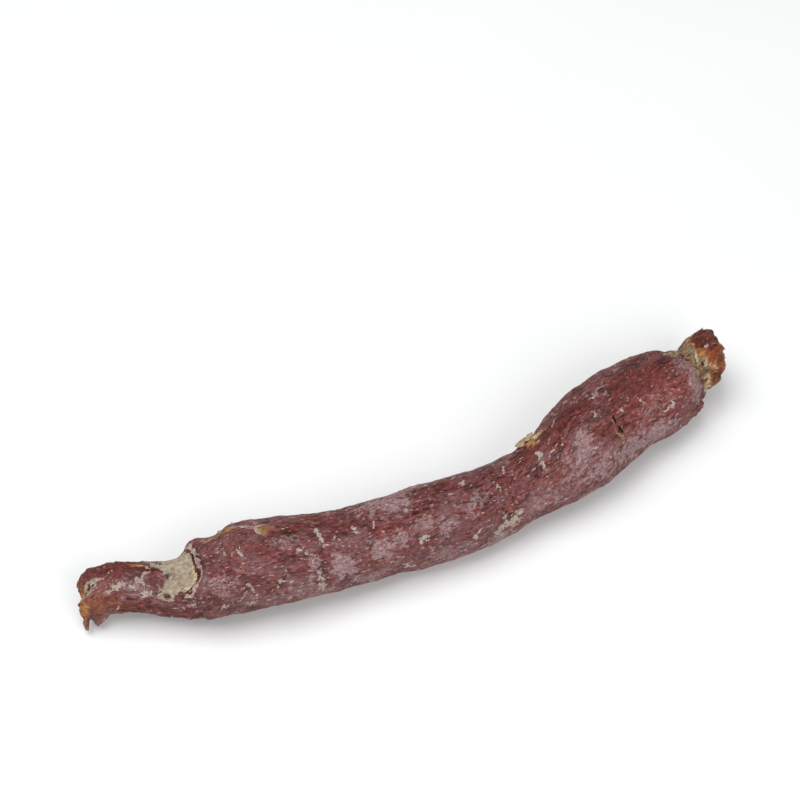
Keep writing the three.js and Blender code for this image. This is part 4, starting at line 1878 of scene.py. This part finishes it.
def bark_scraps() -> Shreds:
    """Dead bark that has lifted: one long flake at the waist, and small ones at torn places."""
    draw = random.Random(5)
    flake = (
        Shred(26.6, -35, 4.6, 2.6, turn=178, rise=0.5, curl=0.5, taper=0.45, roll=-45, ragged=0.25),
        Shred(26.0, -33, 2.8, 1.6, turn=-12, rise=0.3, curl=0.3, taper=0.4, roll=-25, ragged=0.4),
    )
    rim = tuple(
        Shred(-49.9 - 0.0007 * (bearing + 22) ** 2, bearing, draw.uniform(0.6, 1.1),
              draw.uniform(0.5, 1.0), turn=180 + draw.uniform(-30, 30), rise=0.2, taper=0.3)
        for bearing in range(-44, 40, 12)
    )
    places = ((-61.6, 36), (-60.2, 24), (-67.5, 24), (-65.8, 30), (-27.4, 64), (-27.3, 76), (-24.8, 4),
              (-4.2, 44), (15.2, 66), (16.8, 72), (-40.5, -50), (-37.6, -47), (-43.6, -50), (63.4, -34))
    chips = tuple(
        Shred(along + draw.uniform(-0.5, 0.5), bearing + draw.uniform(-3, 3), draw.uniform(0.7, 1.5),
              draw.uniform(0.4, 0.8), turn=draw.uniform(0, 360), rise=draw.uniform(0.1, 0.4), taper=0.4)
        for along, bearing in places
        for _ in range(2)
    )
    finish = DryBarkFinish("papery_dead_bark", "#c4b099", "#8a6650", 0.85)
    return Shreds("bark_scraps", finish, flake + rim + chips)


def stem_fibres() -> Shreds:
    """Frayed fibres of the broken stem, standing round the bud's rim."""
    draw = random.Random(9)
    fibres = tuple(
        Shred(draw.uniform(67.0, 72.5), draw.uniform(-180, 180), draw.uniform(0.9, 1.8),
              draw.uniform(0.3, 0.7), turn=draw.uniform(-30, 30), rise=draw.uniform(0.0, 0.3),
              taper=0.2, thickness=0.2)
        for _ in range(20)
    )
    return Shreds("stem_fibres", DryBarkFinish("dry_stem_fibre", "#a9774a", "#4a1f12", 0.5), fibres)


def tail_fibres() -> Shreds:
    """Amber fibres at the broken thin end; the longest hangs down as a pointed tooth."""
    draw = random.Random(14)
    tooth = (
        Shred(-75.2, 122, 1.7, 1.6, turn=128, rise=0.1, taper=0.2, thickness=0.5, ragged=0.2),
    )
    rim = tuple(
        Shred(-74.6, draw.uniform(-170, -70), draw.uniform(0.5, 1.0), draw.uniform(0.5, 1.0),
              turn=180 + draw.uniform(-30, 30), rise=draw.uniform(-0.2, 0.2), taper=0.4, thickness=0.3)
        for _ in range(8)
    )
    return Shreds("tail_fibres", DryBarkFinish("amber_fibre", "#c0813f", "#6e3517", 0.35), tooth + rim)


# ---- The studio ------------------------------------------------------------------------------


@dataclass(frozen=True)
class FloorFinish:
    """Matt painted studio board: an even, very pale grey that takes a soft shadow."""

    name: str = "matt_painted_board"
    pale: str = "#f3f3f2"
    shade: str = "#ededec"
    cloud: float = 120.0
    roughness: float = 0.9

    def material(self) -> bpy.types.Material:
        """Builds the finish.

        Returns:
            The floor's material.
        """
        made = bpy.data.materials.new(self.name)
        made.use_nodes = True
        tree = made.node_tree
        tree.nodes.clear()
        place = add_node(tree, "ShaderNodeTexCoord").outputs["Object"]
        cloud = add_node(
            tree, "ShaderNodeTexNoise", inputs={"Vector": place, "Scale": 1 / (self.cloud * MM)}
        )
        colour = add_node(
            tree,
            "ShaderNodeMix",
            {"data_type": "RGBA"},
            {0: cloud.outputs["Fac"], 6: linear(self.shade), 7: linear(self.pale)},
        )
        shader = add_node(
            tree,
            "ShaderNodeBsdfPrincipled",
            inputs={"Base Color": colour.outputs[2], "Roughness": self.roughness},
        )
        add_node(tree, "ShaderNodeOutputMaterial", inputs={"Surface": shader.outputs[0]})
        return made


@dataclass(frozen=True)
class SoftLight:
    """A square soft box: its place, size and power."""

    name: str
    place: tuple[float, float, float]
    size: float
    power: float
    colour: str = "#ffffff"


@dataclass
class Studio:
    """The floor, soft lights and camera.

    The camera's aim, distance, lens, sensor and nearest sight are in mm, and its azimuth and
    elevation in degrees.
    """

    aim: tuple[float, float, float] = (6.11, 29.27, 0.0)
    distance: float = 452.5
    azimuth: float = -20.2
    elevation: float = 58.0
    lens: float = 90.0
    sensor: float = 36.0
    nearest_sight: float = 10.0
    floor_width: float = 3000.0
    floor_steps: int = 4
    sky: str = "#eef2f6"
    sky_strength: float = 0.5
    lights: tuple[SoftLight, ...] = (
        SoftLight("soft_box_over", (-160.0, 60.0, 620.0), 460.0, 3.0),
        SoftLight("soft_box_front", (160.0, -480.0, 460.0), 420.0, 1.5),
    )

    def build(self) -> None:
        """Makes the floor, lights and camera."""
        self._floor()
        self._sky()
        for light in self.lights:
            self._light(light)
        self._camera()
        bpy.context.scene.view_settings.view_transform = "Standard"

    def _floor(self) -> None:
        """Lays the floor at the root's lowest level."""
        form = bmesh.new()
        bmesh.ops.create_grid(
            form,
            x_segments=self.floor_steps,
            y_segments=self.floor_steps,
            size=self.floor_width * MM / 2,
        )
        mesh = bpy.data.meshes.new("studio_floor")
        form.to_mesh(mesh)
        form.free()
        floor = bpy.data.objects.new("studio_floor", mesh)
        bpy.context.scene.collection.objects.link(floor)
        mesh.materials.append(FloorFinish().material())

    def _sky(self) -> None:
        """Surrounds the scene with even, faintly cool light."""
        world = bpy.data.worlds.new("studio_sky")
        world.use_nodes = True
        glow = world.node_tree.nodes["Background"]
        glow.inputs["Color"].default_value = linear(self.sky)
        glow.inputs["Strength"].default_value = self.sky_strength
        bpy.context.scene.world = world

    def _light(self, light: SoftLight) -> None:
        """Hangs one soft box, turned to the root.

        Args:
            light: The soft box.
        """
        lamp = bpy.data.lights.new(light.name, "AREA")
        lamp.shape = "SQUARE"
        lamp.size = light.size * MM
        lamp.energy = light.power
        lamp.color = linear(light.colour)[:3]
        holder = bpy.data.objects.new(light.name, lamp)
        place = Vector(light.place) * MM
        facing = place.to_track_quat("Z", "Y").to_matrix().to_4x4()
        holder.matrix_world = Matrix.Translation(place) @ facing
        bpy.context.scene.collection.objects.link(holder)

    def _camera(self) -> None:
        """Sets the camera up and makes it the scene's."""
        turn = math.radians(self.azimuth)
        rise = math.radians(self.elevation)
        level = math.cos(rise)
        back = Vector((math.sin(turn) * level, -math.cos(turn) * level, math.sin(rise)))
        lens = bpy.data.cameras.new("camera")
        lens.lens = self.lens
        lens.sensor_width = self.sensor
        lens.clip_start = self.nearest_sight * MM
        camera = bpy.data.objects.new("camera", lens)
        place = (Vector(self.aim) + back * self.distance) * MM
        facing = back.to_track_quat("Z", "Y").to_matrix().to_4x4()
        camera.matrix_world = Matrix.Translation(place) @ facing
        bpy.context.scene.collection.objects.link(camera)
        bpy.context.scene.camera = camera


def report(piece: bpy.types.Object) -> None:
    """Logs a piece's size.

    Args:
        piece: The piece that has just been made.
    """
    size = ", ".join(f"{side / MM:.1f}" for side in piece.dimensions)
    LOG.info("%s: %s mm, %d faces", piece.name, size, len(piece.data.polygons))


def main() -> None:
    """Builds the dressed root and its studio."""
    logging.basicConfig(level=logging.INFO, format="%(name)s: %(message)s")
    for left in list(bpy.data.objects):
        bpy.data.objects.remove(left)
    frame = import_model()
    skin = RootSkin().build(frame["nodes"][NODE], DriedRootFinish())
    report(skin)
    surface = Surface.of(skin.data)
    for shreds in (bark_scraps(), stem_fibres(), tail_fibres()):
        report(shreds.build(surface))
    Studio().build()


if __name__ == "__main__":
    main()
